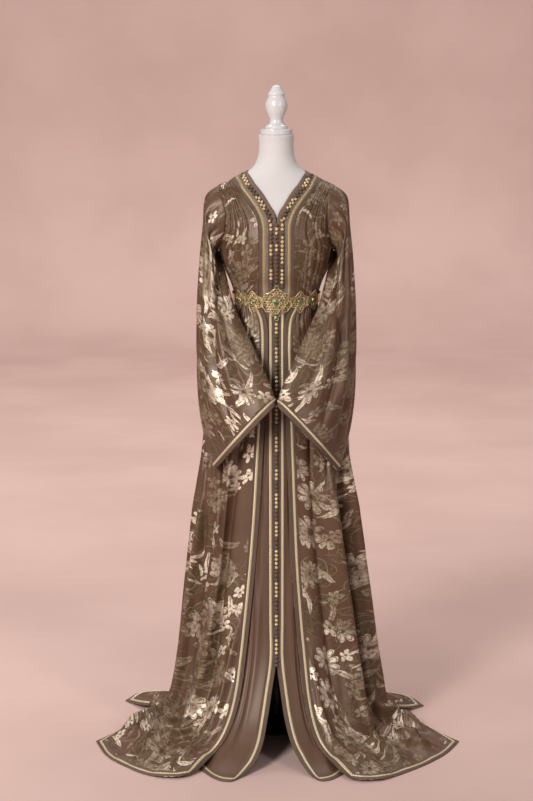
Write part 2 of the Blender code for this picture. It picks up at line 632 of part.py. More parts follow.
def bead_chain(name, path, collection):
    """A row of knot buttons: a curve whose thickness swells at each bead."""
    steps = np.linalg.norm(np.diff(path, axis=0), axis=1)
    along = np.concatenate([[0.0], np.cumsum(steps)])
    count = int(along[-1] / BEAD_PITCH)
    stops = (np.arange(2 * count + 1)) * along[-1] / (2 * count)
    points = np.stack([np.interp(stops, along, path[:, axis]) for axis in range(3)], axis=1)
    curve = bpy.data.curves.new(name, "CURVE")
    curve.dimensions = "3D"
    curve.bevel_depth = BEAD_RADIUS
    curve.bevel_resolution = 0
    curve.use_fill_caps = True
    spline = curve.splines.new("POLY")
    spline.points.add(len(points) - 1)
    for index, point in enumerate(points):
        spline.points[index].co = (*point, 1.0)
        spline.points[index].radius = BEAD_WAIST if index % 2 == 0 else 1.0
    return place(name, curve, "gilt", collection)


def belt_angle(along):
    """The angle round the waist of a place along the belt from the front centre."""
    angle = np.linspace(0, math.pi, 181)
    points = body_point(angle, WAIST_HEIGHT, BELT_OUT)
    length = np.concatenate([[0.0], np.cumsum(np.linalg.norm(np.diff(points, axis=0), axis=1))])
    return np.sign(along) * np.interp(np.abs(along), length, angle)


def belt_point(along, up, out):
    """A point of the belt, which droops a little at the front."""
    angle = belt_angle(along)
    return body_point(angle, WAIST_HEIGHT + up + BELT_DROOP * (1 - np.cos(angle)) / 2, BELT_OUT + out)


def belt_plate(name, middle, half_length, half_height, collection):
    """A lobed plate with a raised boss, bent round the waist."""
    turn = np.arange(PLATE_SIDES) * 2 * math.pi / PLATE_SIDES
    reach = 1 - PLATE_LOBE + PLATE_LOBE * np.cos(PLATE_LOBES * turn)
    rings = []
    for scale, out in ((1.0, 0.0), (1.0, BELT_PLATE), (0.62, BELT_PLATE), (0.42, BOSS_HEIGHT)):
        rings.append(belt_point(middle + half_length * scale * reach * np.sin(turn),
                                half_height * scale * reach * np.cos(turn), out))
    mesh_builder = bmesh.new()
    rows = [[mesh_builder.verts.new(point) for point in ring] for ring in rings]
    back = mesh_builder.verts.new(belt_point(np.array([middle]), 0.0, 0.0)[0])
    front = mesh_builder.verts.new(belt_point(np.array([middle]), 0.0, BOSS_HEIGHT)[0])
    for index in range(PLATE_SIDES):
        after = (index + 1) % PLATE_SIDES
        mesh_builder.faces.new([back, rows[0][index], rows[0][after]])
        mesh_builder.faces.new([front, rows[-1][index], rows[-1][after]])
        for lower, upper in zip(rows, rows[1:]):
            mesh_builder.faces.new([lower[index], lower[after], upper[after], upper[index]])
    bmesh.ops.recalc_face_normals(mesh_builder, faces=mesh_builder.faces)
    mesh = bpy.data.meshes.new(name)
    mesh_builder.to_mesh(mesh)
    mesh_builder.free()
    return place(name, mesh, "gilt", collection)


def belt_hinge(name, along, collection):
    """An upright bar between two plates."""
    mesh_builder = bmesh.new()
    bmesh.ops.create_cone(mesh_builder, cap_ends=True, segments=8, radius1=HINGE_RADIUS,
                          radius2=HINGE_RADIUS, depth=BELT_STRAP_HEIGHT)
    mesh = bpy.data.meshes.new(name)
    mesh_builder.to_mesh(mesh)
    mesh_builder.free()
    part = place(name, mesh, "gilt", collection)
    part.location = belt_point(np.array([along]), 0.0, HINGE_RADIUS)[0]
    return part


def belt_stone(name, along, up, half_width, half_height, collection):
    """A domed green stone in front of its plate."""
    on_plate = abs(up) < 0.03
    out = (BOSS_HEIGHT if on_plate else 0.0) + SEAM_GAP + STONE_DEPTH
    mesh_builder = bmesh.new()
    bmesh.ops.create_uvsphere(mesh_builder, u_segments=8, v_segments=5, radius=1.0)
    bmesh.ops.scale(mesh_builder, verts=mesh_builder.verts, vec=(half_width, STONE_DEPTH, half_height))
    angle = float(belt_angle(np.array([along]))[0])
    turn = np.array([[math.cos(angle), -math.sin(angle), 0.0],
                     [math.sin(angle), math.cos(angle), 0.0], [0.0, 0.0, 1.0]])
    for vertex in mesh_builder.verts:
        vertex.co = turn @ np.array(vertex.co)
    mesh = bpy.data.meshes.new(name)
    mesh_builder.to_mesh(mesh)
    mesh_builder.free()
    mesh.shade_smooth()
    part = place(name, mesh, "green stone", collection)
    part.location = belt_point(np.array([along]), up, out)[0]
    return part


def belt_back_grid(start):
    """The plain strap round the back, from this far along the belt to as far on the other side."""
    angle = float(belt_angle(np.array([start]))[0])
    round_back = np.linspace(angle, 2 * math.pi - angle, 33)
    rows = []
    for up in (BELT_STRAP_HEIGHT / 2, -BELT_STRAP_HEIGHT / 2):
        height = WAIST_HEIGHT + up + BELT_DROOP * (1 - np.cos(round_back)) / 2
        rows.append(body_point(round_back, height, BELT_OUT))
    return np.array(rows)


def build_robe(collection):
    """Both fronts, the back and the braid that edges them."""
    lift = WALL + LAYER_GAP
    ring_count = ARMHOLE_STEPS + 1 + len(SKIRT_RINGS)
    trim_start = ARMHOLE_STEPS + 1 + SKIRT_RINGS.index(WAIST_HEIGHT)
    for side, word, sign in ((LEFT, "left", 1), (RIGHT, "right", -1)):
        grid = robe_front_grid(side)
        cloth("robe_front_" + word, grid, sign, WALL, "patterned satin", collection)
        cells = np.zeros((grid.shape[0] - 1, grid.shape[1] - 1), dtype=bool)
        cells[trim_start:, 0] = True
        cells[ring_count:, -1] = True
        cells[-1, :] = True
        cloth("robe_trim_" + word, moved_out(grid, lift, sign), sign, TRIM_WALL, "braid", collection, cells)
    grid = robe_back_grid()
    cloth("robe_back", grid, -1, WALL, "patterned satin", collection)
    cells = np.zeros((grid.shape[0] - 1, grid.shape[1] - 1), dtype=bool)
    cells[ring_count:, [0, -1]] = True
    cells[-1, :] = True
    cloth("robe_trim_back", moved_out(grid, lift, -1), -1, TRIM_WALL, "braid", collection, cells)


def build_sleeves(collection):
    """Both bell sleeves and their cuff braid."""
    for side, word, sign in ((LEFT, "left", -1), (RIGHT, "right", 1)):
        grid = sleeve_grid(side)
        cloth("sleeve_" + word, grid, sign, WALL, "patterned satin", collection, wrap=True)
        cells = np.zeros((grid.shape[0] - 1, grid.shape[1]), dtype=bool)
        cells[-1, :] = True
        edged = moved_out(grid, WALL + LAYER_GAP, sign, wrap=True)
        cloth("cuff_trim_" + word, edged, sign, TRIM_WALL, "braid", collection, cells, wrap=True)


def build_underskirt(collection):
    """The two plain inner fronts and the braid down the opening and round the hem."""
    for side, word, sign in ((LEFT, "left", 1), (RIGHT, "right", -1)):
        grid = underskirt_grid(side)
        cloth("underskirt_front_" + word, grid, sign, WALL, "plain satin", collection)
        cells = np.zeros((grid.shape[0] - 1, grid.shape[1] - 1), dtype=bool)
        cells[:, 0] = True
        cells[-1, :] = True
        edged = moved_out(grid, WALL + LAYER_GAP, sign)
        cloth("underskirt_trim_" + word, edged, sign, TRIM_WALL, "braid", collection, cells)


def button_path(lifted, share):
    """A path along the rows of a moved-out grid, at each row's own share across it."""
    across = np.linspace(0, 1, lifted.shape[1])
    return np.array([[np.interp(part, across, row[:, axis]) for axis in range(3)]
                     for row, part in zip(lifted, share)])


def build_neck_band(collection):
    """The placket band and its rows of knot buttons."""
    grid = neck_band_grid()
    cloth("neck_band", grid, 1, BAND_WALL, "braid", collection)
    out = BAND_WALL + LAYER_GAP + BEAD_RADIUS
    lifted = moved_out(grid, out, 1)
    front_rows = np.arange(1, len(NECK_BAND["outer_x"]) - 1)
    share = np.interp(front_rows, BUTTON_SHARE["row"], BUTTON_SHARE["share"])
    bead_chain("buttons_right", button_path(lifted[front_rows], share), collection)
    bead_chain("buttons_left", button_path(lifted[-1 - front_rows], share), collection)
    height = np.linspace(CENTRE_BUTTON_TOP, CENTRE_BUTTON_END, 12)
    bead_chain("buttons_centre", body_point(0.0 * height, height, out), collection)


def build_skirt_buttons(collection):
    """The row of knot buttons down the underskirt's opening, from the belt to the slit."""
    out = WALL + TRIM_WALL + 2 * LAYER_GAP + BEAD_RADIUS
    edge = moved_out(underskirt_grid(LEFT), out, 1)[:, 0]
    height = np.linspace(SKIRT_BUTTON_TOP, SLIT_TOP, 60)
    forward = np.interp(height, edge[::-1, 2], edge[::-1, 1])
    bead_chain("buttons_skirt", np.stack([0.0 * height, forward, height], axis=1), collection)


def build_belt(collection):
    """Gilt plates, hinge bars, stones and the strap behind, each one seated on the last."""
    edge, half_height = CENTRE_PLATE
    belt_plate("belt_medallion_centre", 0.0, edge, half_height, collection)
    for place_word, (half_length, half_height) in zip(("", "outer_"), SIDE_PLATES):
        hinge = edge + SEAM_GAP + HINGE_RADIUS
        middle = hinge + HINGE_RADIUS + SEAM_GAP + half_length
        for side, word in ((LEFT, "left"), (RIGHT, "right")):
            belt_hinge("belt_hinge_" + place_word + word, side * hinge, collection)
            plate_name = "belt_medallion_" + place_word + word
            belt_plate(plate_name, side * middle, half_length, half_height, collection)
            if not place_word:
                belt_stone("belt_stone_" + word, side * middle, 0.0, *SIDE_STONE, collection)
        edge = middle + half_length
    for name, (up, half_width, half_height) in CENTRE_STONES.items():
        belt_stone(name, 0.0, up, half_width, half_height, collection)
    cloth("belt_back", belt_back_grid(edge + SEAM_GAP), -1, BELT_PLATE, "gilt", collection)


def build():
    """The whole part, in a collection of its own."""
    for leftover in list(bpy.data.objects):
        bpy.data.objects.remove(leftover, do_unlink=True)
    collection = bpy.data.collections.new("moroccan kaftan on a dress form")
    bpy.context.scene.collection.children.link(collection)
    torso(collection)
    turned("form_neck_cap", CAP, TURNED_SIDES, "white gloss", collection)
    turned("form_finial", FINIAL, TURNED_SIDES, "white gloss", collection)
    pole(collection)
    turned("stand_base", BASE, BASE_SIDES, "painted steel", collection)
    build_robe(collection)
    build_sleeves(collection)
    build_underskirt(collection)
    build_neck_band(collection)
    build_skirt_buttons(collection)
    build_belt(collection)


build()
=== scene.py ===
"""Moroccan kaftan with its gilt belt, worn by a limbless white dress form.

Every piece is a surface over two parameters, worked out with numpy on the rings of its
solid. Left and right are the viewer's, and an angle round the body starts at the front
centre: 90 degrees is the right side, 180 the back, -90 the left. All sizes are metres.
"""
import math

import bpy
import numpy as np
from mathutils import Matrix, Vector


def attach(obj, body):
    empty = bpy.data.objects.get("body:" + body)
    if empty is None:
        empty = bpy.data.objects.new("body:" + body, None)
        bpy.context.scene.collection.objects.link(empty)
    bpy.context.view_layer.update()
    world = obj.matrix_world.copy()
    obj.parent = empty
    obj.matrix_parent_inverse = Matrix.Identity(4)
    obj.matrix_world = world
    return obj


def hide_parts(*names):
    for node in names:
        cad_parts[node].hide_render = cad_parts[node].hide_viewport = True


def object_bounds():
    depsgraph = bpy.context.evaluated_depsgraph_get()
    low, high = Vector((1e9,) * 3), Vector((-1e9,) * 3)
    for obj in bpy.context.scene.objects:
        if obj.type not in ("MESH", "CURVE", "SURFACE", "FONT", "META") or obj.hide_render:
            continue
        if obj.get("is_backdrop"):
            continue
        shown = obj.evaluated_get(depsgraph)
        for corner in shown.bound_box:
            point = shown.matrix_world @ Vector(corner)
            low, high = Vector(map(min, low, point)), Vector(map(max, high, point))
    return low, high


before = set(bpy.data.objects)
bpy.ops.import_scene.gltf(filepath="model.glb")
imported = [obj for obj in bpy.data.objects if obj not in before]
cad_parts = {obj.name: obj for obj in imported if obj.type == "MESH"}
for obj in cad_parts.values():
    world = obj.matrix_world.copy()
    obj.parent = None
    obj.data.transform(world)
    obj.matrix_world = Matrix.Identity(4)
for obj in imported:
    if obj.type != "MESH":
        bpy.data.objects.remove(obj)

SOLIDS_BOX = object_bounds()
LEFT, RIGHT = -1, 1

# Sizes shared with the solids
WALL = 0.0016
SEAM_GAP = 0.0003
LAYER_GAP = 0.0005
TRIM_WIDTH = 0.021
TRIM_WALL = 0.0018
BAND_WALL = 0.0024
WAIST_HEIGHT = 1.165
FLOOR_LIFT = 0.0010
LAST_RING_HEIGHT = 0.035
UNDERSKIRT_INSET = 0.0050
UNDERSKIRT_TOP_INSET = 0.0026
UNDERSKIRT_TUCK = 0.028
SLIT_TOP = 0.232
CENTRE_BUTTON_TOP = 1.372
CENTRE_BUTTON_END = 1.216
SKIRT_BUTTON_TOP = 1.114
ARMHOLE_MIDDLE = 1.376
ARMHOLE_HALF_HEIGHT = 0.081
ARMHOLE_HALF_DEPTH = 0.056
ARMHOLE_STEPS = 7
BEAD_PITCH = 0.0105
BEAD_RADIUS = 0.0042
BELT_OUT = 0.0050
BELT_DROOP = 0.011
BELT_STRAP_HEIGHT = 0.024
BELT_PIN = 0.0016
NECK_TOP = 1.592
CAP_TOP = 1.6067

# Sizes of the visible surfaces alone; a grid has so many rows and columns of faces
YOKE_HEIGHT = 1.455
BRAID_LIFT = WALL + SEAM_GAP
BRAID_STEP = 0.0055
NARROWEST_COLUMN = 0.004
SMALL_KNOT_PITCH = 0.56 * BEAD_PITCH
SMALL_KNOT_RADIUS = 0.0037
SMALL_KNOT_SHIFT = 0.0024
SMALL_KNOTS_ABOVE = 1.372
RIM_WIRE = 0.0009
RINGLET_WIRE = 0.00062
FRONT_GRID = (235, 80)
BACK_GRID = (225, 132)
SLEEVE_GRID = (165, 126)
UNDERSKIRT_GRID = (220, 40)
BAND_GRID = (420, 30)


def table(names, rows):
    """A short table: each named column becomes an array."""
    return dict(zip(names.split(), np.array(rows, dtype=float).T))


def full_turn(count):
    """Even angles once round, from 0."""
    return np.arange(count) * 2 * math.pi / count


def run_lengths(points):
    """Distances along a path, from 0 at its first point."""
    step = np.linalg.norm(np.diff(points, axis=0), axis=-1)
    return np.concatenate([[0.0], np.cumsum(step)])


def unit(vectors):
    """Vectors of the same directions, one long."""
    return vectors / np.linalg.norm(vectors, axis=-1, keepdims=True)


# The inner face of the robe round the body, ring by ring
BODY = table("height left right front back", [
    (1.4985, 0.0752, 0.0752, 0.0590, 0.0610), (1.4880, 0.0950, 0.0950, 0.0625, 0.0650),
    (1.4770, 0.1145, 0.1145, 0.0665, 0.0690), (1.4670, 0.1360, 0.1360, 0.0715, 0.0735),
    (1.4570, 0.1525, 0.1525, 0.0775, 0.0785), (1.4400, 0.1590, 0.1590, 0.0860, 0.0860),
    (1.4100, 0.1610, 0.1610, 0.0960, 0.0930), (1.3600, 0.1560, 0.1560, 0.1110, 0.0960),
    (1.3000, 0.1500, 0.1500, 0.1190, 0.0950), (1.2500, 0.1370, 0.1370, 0.1120, 0.0890),
    (1.2050, 0.1175, 0.1175, 0.0995, 0.0825), (1.1650, 0.1085, 0.1085, 0.0960, 0.0800),
    (1.1200, 0.1150, 0.1150, 0.0990, 0.0845), (1.0600, 0.1390, 0.1390, 0.1100, 0.0990),
    (0.9800, 0.1620, 0.1620, 0.1210, 0.1130), (0.8800, 0.1845, 0.1835, 0.1320, 0.1260),
    (0.7600, 0.1980, 0.1950, 0.1450, 0.1350), (0.6200, 0.2110, 0.2000, 0.1630, 0.1430),
    (0.4800, 0.2260, 0.2130, 0.1850, 0.1520), (0.3500, 0.2400, 0.2290, 0.2120, 0.1620),
    (0.2500, 0.2490, 0.2420, 0.2410, 0.1700), (0.1700, 0.2580, 0.2570, 0.2780, 0.1785),
    (0.1100, 0.2720, 0.2710, 0.3150, 0.1865), (0.0650, 0.2930, 0.2890, 0.3570, 0.1950),
    (LAST_RING_HEIGHT, 0.3180, 0.3120, 0.3920, 0.2050),
])

# The front edges of the robe, as distances from the middle
ROBE_EDGE = table("height left right", [
    (1.2500, 0.0450, 0.0450), (1.2050, 0.0449, 0.0449), (1.1650, 0.0440, 0.0432),
    (1.1200, 0.0250, 0.0230), (1.0600, 0.0205, 0.0180), (0.9800, 0.0235, 0.0200),
    (0.8800, 0.0290, 0.0235), (0.7600, 0.0355, 0.0275), (0.6200, 0.0435, 0.0325),
    (0.4800, 0.0545, 0.0390), (0.3500, 0.0675, 0.0490), (0.2500, 0.0790, 0.0590),
    (0.1700, 0.0910, 0.0680), (0.1100, 0.1070, 0.0800), (0.0650, 0.1295, 0.0980),
    (LAST_RING_HEIGHT, 0.1560, 0.1230),
])

# The neck band: outer edge, and inner edge down the V and beside the front opening
NECK_BAND = table("outer_height outer_x inner_height inner_x", [
    (1.4770, 0.1145, 1.4985, 0.0752), (1.4730, 0.1135, 1.4938, 0.0735),
    (1.4660, 0.1075, 1.4865, 0.0675), (1.4500, 0.0950, 1.4700, 0.0570),
    (1.4250, 0.0770, 1.4480, 0.0385), (1.3920, 0.0548, 1.4200, 0.0208),
    (1.3580, 0.0458, 1.3860, 0.0024), (1.3180, 0.0451, 1.3250, 0.0012),
    (1.2500, 0.0450, 1.2500, 0.0012), (1.2050, 0.0449, 1.2050, 0.0012),
    (1.1670, 0.0424, 1.1670, 0.0012),
])
BUTTON_SHARE = table("row share", [(0, 0.26), (4, 0.30), (6, 0.36)])

# The underskirt's front edges: shut to the end of the buttons, then a slit
UNDERSKIRT_EDGE = table("height left right", [
    (1.1650, 0.0003, 0.0003), (0.3500, 0.0003, 0.0003), (0.2500, 0.0003, 0.0003),
    (0.1700, 0.0125, 0.0105), (0.1100, 0.0235, 0.0215), (0.0650, 0.0345, 0.0365),
    (LAST_RING_HEIGHT, 0.0500, 0.0560),
])

# Hems on the floor, as distances from the middle, front negative
ROBE_FRONT_HEM = {
    LEFT: table("share x y", [
        (0.00, 0.220, -0.417), (0.12, 0.248, -0.433), (0.27, 0.287, -0.428), (0.44, 0.339, -0.400),
        (0.62, 0.385, -0.354), (0.82, 0.438, -0.289), (1.00, 0.479, -0.181)]),
    RIGHT: table("share x y", [
        (0.00, 0.186, -0.442), (0.12, 0.214, -0.453), (0.27, 0.260, -0.445), (0.44, 0.322, -0.398),
        (0.62, 0.384, -0.340), (0.82, 0.446, -0.262), (1.00, 0.486, -0.182)]),
}
ROBE_BACK_HEM = table("share x y", [
    (0.000, 0.417, 0.089), (0.070, 0.380, 0.125), (0.160, 0.310, 0.168), (0.300, 0.190, 0.228),
    (0.500, 0.000, 0.262),
    (0.700, -0.190, 0.236), (0.840, -0.310, 0.182), (0.930, -0.385, 0.162), (1.000, -0.426, 0.129),
])
UNDERSKIRT_HEM = {
    LEFT: table("share x y", [
        (0.00, 0.104, -0.441), (0.25, 0.120, -0.451), (0.55, 0.142, -0.444), (0.80, 0.167, -0.418),
        (1.00, 0.196, -0.372)]),
    RIGHT: table("share x y", [
        (0.00, 0.102, -0.438), (0.25, 0.114, -0.447), (0.55, 0.132, -0.442), (0.80, 0.152, -0.424),
        (1.00, 0.176, -0.388)]),
}
SKIRT_RINGS = [1.250, 1.205, 1.165, 1.120, 1.060, 0.980, 0.880, 0.760, 0.620, 0.480, 0.350,
               0.250, 0.170, 0.110, 0.065, LAST_RING_HEIGHT]
FLOOR_SHARES = [0.38, 0.74, 1.0]
ROBE_FRONT_COLUMNS = 13
ROBE_BACK_COLUMNS = 20
BACK_SEAM_COLUMNS = 4
BACK_NECK_DROP = 0.016
UNDERSKIRT_COLUMNS = 5

# How deep the folds stand out at each height
FOLD_DEPTH = table("height front back", [
    (1.4770, 0.0000, 0.0000), (1.4400, 0.0012, 0.0008), (1.3600, 0.0024, 0.0012),
    (1.2500, 0.0022, 0.0014), (1.1650, 0.0018, 0.0014), (1.0600, 0.0040, 0.0038),
    (0.9100, 0.0065, 0.0075), (0.6200, 0.0110, 0.0125), (0.3300, 0.0150, 0.0160),
    (0.1200, 0.0160, 0.0170), (LAST_RING_HEIGHT, 0.0120, 0.0150),
])
FRONT_FOLDS = 3.5
BACK_FOLDS = 6.0
FLOOR_RIDGE = 0.016

# Sleeve stations from the shoulder to the cuff, for the left
SLEEVE = table("outer_x outer_y outer_z inner_x inner_y inner_z turn bow half_depth", [
    (-0.1850, 0.000, 1.4300, -0.1600, -0.010, 1.2760, 4, 0.000, 0.0520),
    (-0.1920, -0.003, 1.3600, -0.1390, -0.034, 1.2430, 9, 0.002, 0.0450),
    (-0.1965, -0.008, 1.2700, -0.1255, -0.062, 1.2000, 14, 0.006, 0.0370),
    (-0.2010, -0.015, 1.1800, -0.1080, -0.092, 1.1460, 19, 0.012, 0.0330),
    (-0.2050, -0.022, 1.0900, -0.0780, -0.124, 1.0880, 24, 0.020, 0.0310),
    (-0.2060, -0.034, 1.0000, -0.0510, -0.152, 1.0340, 29, 0.028, 0.0290),
    (-0.2030, -0.052, 0.9200, -0.0290, -0.172, 0.9880, 33, 0.032, 0.0270),
    (-0.1950, -0.074, 0.8500, -0.0120, -0.186, 0.9500, 28, 0.032, 0.0250),
    (-0.1800, -0.098, 0.7850, -0.0050, -0.194, 0.9270, 20, 0.030, 0.0230),
    (-0.1590, -0.124, 0.7300, -0.0045, -0.198, 0.9120, 12, 0.028, 0.0220),
])
RIGHT_SLEEVE_FORWARD = 0.016
SLEEVE_FOLD = 0.006
SLEEVE_TUCK = 0.005

# The bust form: neck, shoulders, waist and hips
TORSO = table("height half_width front back", [
    (NECK_TOP, 0.0467, 0.0467, 0.0467), (1.5830, 0.0458, 0.0458, 0.0458),
    (1.5700, 0.0448, 0.0448, 0.0448), (1.5450, 0.0465, 0.0455, 0.0460),
    (1.5220, 0.0530, 0.0490, 0.0500), (1.5080, 0.0622, 0.0525, 0.0545),
    (1.4985, 0.0732, 0.0560, 0.0580), (1.4880, 0.0915, 0.0585, 0.0605),
    (1.4770, 0.1075, 0.0620, 0.0630), (1.4660, 0.1235, 0.0665, 0.0650),
    (1.4560, 0.1380, 0.0720, 0.0697), (1.4400, 0.1470, 0.0800, 0.0790),
    (1.4100, 0.1490, 0.0900, 0.0875), (1.3600, 0.1430, 0.1050, 0.0890),
    (1.3000, 0.1330, 0.1120, 0.0870), (1.2500, 0.1200, 0.1030, 0.0810),
    (1.2050, 0.1070, 0.0920, 0.0740), (1.1650, 0.0980, 0.0850, 0.0710),
    (1.1200, 0.1070, 0.0880, 0.0760), (1.0600, 0.1240, 0.0950, 0.0870),
    (0.9900, 0.1420, 0.1010, 0.0970), (0.9100, 0.1560, 0.1040, 0.1050),
    (0.8300, 0.1530, 0.1000, 0.1030), (0.8000, 0.1450, 0.0940, 0.0970),
])
FINIAL = table("radius height", [
    (0.0000, 1.7200), (0.0070, 1.7180), (0.0123, 1.7135), (0.0154, 1.7075), (0.0196, 1.7010),
    (0.0226, 1.6960), (0.0213, 1.6900), (0.0270, 1.6770), (0.0290, 1.6660), (0.0262, 1.6525),
    (0.0206, 1.6400), (0.0170, 1.6300), (0.0190, 1.6215), (0.0254, 1.6165), (0.0296, 1.6120),
    (0.0296, CAP_TOP + SEAM_GAP), (0.0000, CAP_TOP + SEAM_GAP),
])
CAP = table("radius height", [
    (0.0000, CAP_TOP), (0.0400, CAP_TOP), (0.0416, CAP_TOP - 0.0006), (0.0422, CAP_TOP - 0.0022),
    (0.0422, NECK_TOP + 0.0026), (0.0416, NECK_TOP + 0.0009), (0.0400, NECK_TOP + SEAM_GAP),
    (0.0000, NECK_TOP + SEAM_GAP),
])


def steepness(knots, values, tight):
    """Slopes at the knots: weighted means, or harmonic means that never overshoot."""
    step = np.diff(knots).reshape((-1,) + (1,) * (values.ndim - 1))
    slope = np.diff(values, axis=0) / step
    if tight:
        product = slope[:-1] * slope[1:]
        total = np.where(product > 0, slope[:-1] + slope[1:], 1.0)
        middle = np.where(product > 0, 2 * product / total, 0.0)
    else:
        middle = (slope[:-1] * step[1:] + slope[1:] * step[:-1]) / (step[:-1] + step[1:])
    return np.concatenate([slope[:1], middle, slope[-1:]])


def through(knots, values, at, tight=False):
    """A smooth curve through rows of values, by cubic pieces that share their end slopes."""
    tangent = steepness(knots, values, tight)
    at = np.clip(at, knots[0], knots[-1])
    row = np.clip(np.searchsorted(knots, at, side="right") - 1, 0, len(knots) - 2)
    step = knots[row + 1] - knots[row]
    shape = at.shape + (1,) * (values.ndim - 1)
    part = ((at - knots[row]) / step).reshape(shape)
    step = step.reshape(shape)
    rest = 1 - part
    return (values[row] * rest * rest * (1 + 2 * part)
            + values[row + 1] * part * part * (3 - 2 * part)
            + step * part * rest * (tangent[row] * rest - tangent[row + 1] * part))


def smooth(columns, name, at, along="height"):
    """A table's column between its rows, on a curve that never overshoots them."""
    order = np.argsort(columns[along])
    return through(columns[along][order], columns[name][order], np.asarray(at, float), tight=True)


def depth(columns, ahead, height):
    """A table's front depth where a point lies ahead of the sides, and its back depth behind."""
    return np.where(ahead, smooth(columns, "front", height), smooth(columns, "back", height))


def body_point(angle, height, out=0.0):
    """Points round the body at the given angles and heights, moved out level by out."""
    angle, height, out = np.broadcast_arrays(angle, height, out)
    sine, cosine = np.sin(angle), np.cos(angle)
    wide = np.where(sine < 0, smooth(BODY, "left", height), smooth(BODY, "right", height))
    deep = depth(BODY, cosine > 0, height)
    outward = unit(np.stack([sine / wide, -cosine / deep], axis=-1))
    return np.stack([wide * sine + out * outward[..., 0],
                     -deep * cosine + out * outward[..., 1], height], axis=-1)


def edge_angle(side, across, height):
    """The angle of a point of the front that lies this far from the middle."""
    wide = smooth(BODY, side_name(side), height)
    return side * np.arcsin(np.clip(across / wide, 0.0, 1.0))


def armhole_heights():
    """Heights down the armhole, from its top to its bottom."""
    steps = np.arange(ARMHOLE_STEPS + 1) * math.pi / ARMHOLE_STEPS
    return ARMHOLE_MIDDLE + ARMHOLE_HALF_HEIGHT * np.cos(steps)


def armhole_half_depth(height):
    """Half the armhole's depth at a height, or 0 above and below it."""
    rise = (np.asarray(height) - ARMHOLE_MIDDLE) / ARMHOLE_HALF_HEIGHT
    return ARMHOLE_HALF_DEPTH * np.sqrt(np.clip(1 - rise * rise, 0.0, 1.0))


def side_angle(height, depth_name):
    """How far round the body a panel reaches, counted from its own middle."""
    deep = smooth(BODY, depth_name, height)
    seam = SEAM_GAP / 2 / deep
    return np.arccos(np.clip(armhole_half_depth(height) / deep + seam, 0.0, 1.0))


def column_shares(length, count, edge, far_edge):
    """Shares across a row, with a trim's width kept at the edges that carry one."""
    first = TRIM_WIDTH / length if edge else 0.0
    last = 1 - TRIM_WIDTH / length if far_edge else 1.0
    inner = np.linspace(first, last, count + 1 - int(edge) - int(far_edge))
    return np.concatenate([[0.0] if edge else [], inner, [1.0] if far_edge else []])


def row_length(start_angle, end_angle, start_height, end_height):
    """Length of the arc from one end of a row to the other."""
    part = np.linspace(0, 1, 33)
    points = body_point(start_angle + (end_angle - start_angle) * part,
                        start_height + (end_height - start_height) * part)
    return run_lengths(points)[-1]


def fold_wave(share, folds, height, lean):
    """Rounded folds, 0 in the valleys and 1 on the ridges, leaning a little with height."""
    phase = 2 * math.pi * (folds * share + lean * np.sin(2.3 * height + 5 * share))
    return 0.5 - 0.5 * np.cos(phase)


def floor_rows(last_row, hem, shares, raised, ridge_height=FLOOR_RIDGE):
    """Rows that run out over the floor from the last ring to the hem."""
    reach = np.linalg.norm(hem[:, :2] - last_row[:, :2], axis=1)
    before_trim = 1 - TRIM_WIDTH / reach
    rows = []
    for stage in FLOOR_SHARES + [None]:
        part = np.ones_like(reach) if stage is None else before_trim * stage
        row = last_row + (hem - last_row) * part[:, None]
        ridge = ridge_height * fold_wave(shares, 5.0, 0.0, 0.12) * (4 * part * (1 - part)) ** 1.5
        fall = (last_row[:, 2] - hem[:, 2]) * (1 - part) ** 2
        row[:, 2] = hem[:, 2] + fall + ridge + raised
        rows.append(row)
    return rows


def hem_points(columns, side, shares):
    """The hem's points on the floor at the given shares of its length."""
    x, y = (smooth(columns, name, shares, "share") for name in "xy")
    return np.stack([side * x, y, np.full_like(shares, FLOOR_LIFT)], axis=1)


def side_name(side):
    """The name of a table's column for one side."""
    return "left" if side == LEFT else "right"


def robe_front_rows(side):
    """A robe front's rings from the shoulder seam to the hem, from its edge to the side."""
    rows = []
    seam_heights = np.concatenate([armhole_heights(), SKIRT_RINGS])
    edge_heights = np.concatenate([NECK_BAND["outer_height"][:ARMHOLE_STEPS + 1], SKIRT_RINGS])
    for row, (edge_height, seam_height) in enumerate(zip(edge_heights, seam_heights)):
        if row <= ARMHOLE_STEPS:
            across = NECK_BAND["outer_x"][row]
        else:
            across = smooth(ROBE_EDGE, side_name(side), edge_height)
        start = abs(edge_angle(side, across + SEAM_GAP, edge_height))
        end = side_angle(seam_height, "front")
        start = min(start, end)
        length = row_length(start, end, edge_height, seam_height)
        if edge_height <= WAIST_HEIGHT:
            shares = column_shares(length, ROBE_FRONT_COLUMNS, True, True)
        else:
            shares = np.linspace(0, 1, ROBE_FRONT_COLUMNS + 1)
        height = edge_height + (seam_height - edge_height) * shares
        window = np.clip((shares - 0.12) / 0.22, 0, 1) * np.clip((0.91 - shares) / 0.14, 0, 1)
        out = smooth(FOLD_DEPTH, "front", height) * window
        out = out * fold_wave(shares, FRONT_FOLDS, height, 0.10 * side)
        rows.append(body_point(side * (start + (end - start) * shares), height, out))
    raised = 0.0062 * np.clip((0.42 - shares) / 0.25, 0, 1) ** 0.7
    hem = hem_points(ROBE_FRONT_HEM[side], side, shares)
    return np.array(rows + floor_rows(rows[-1], hem, shares, raised))


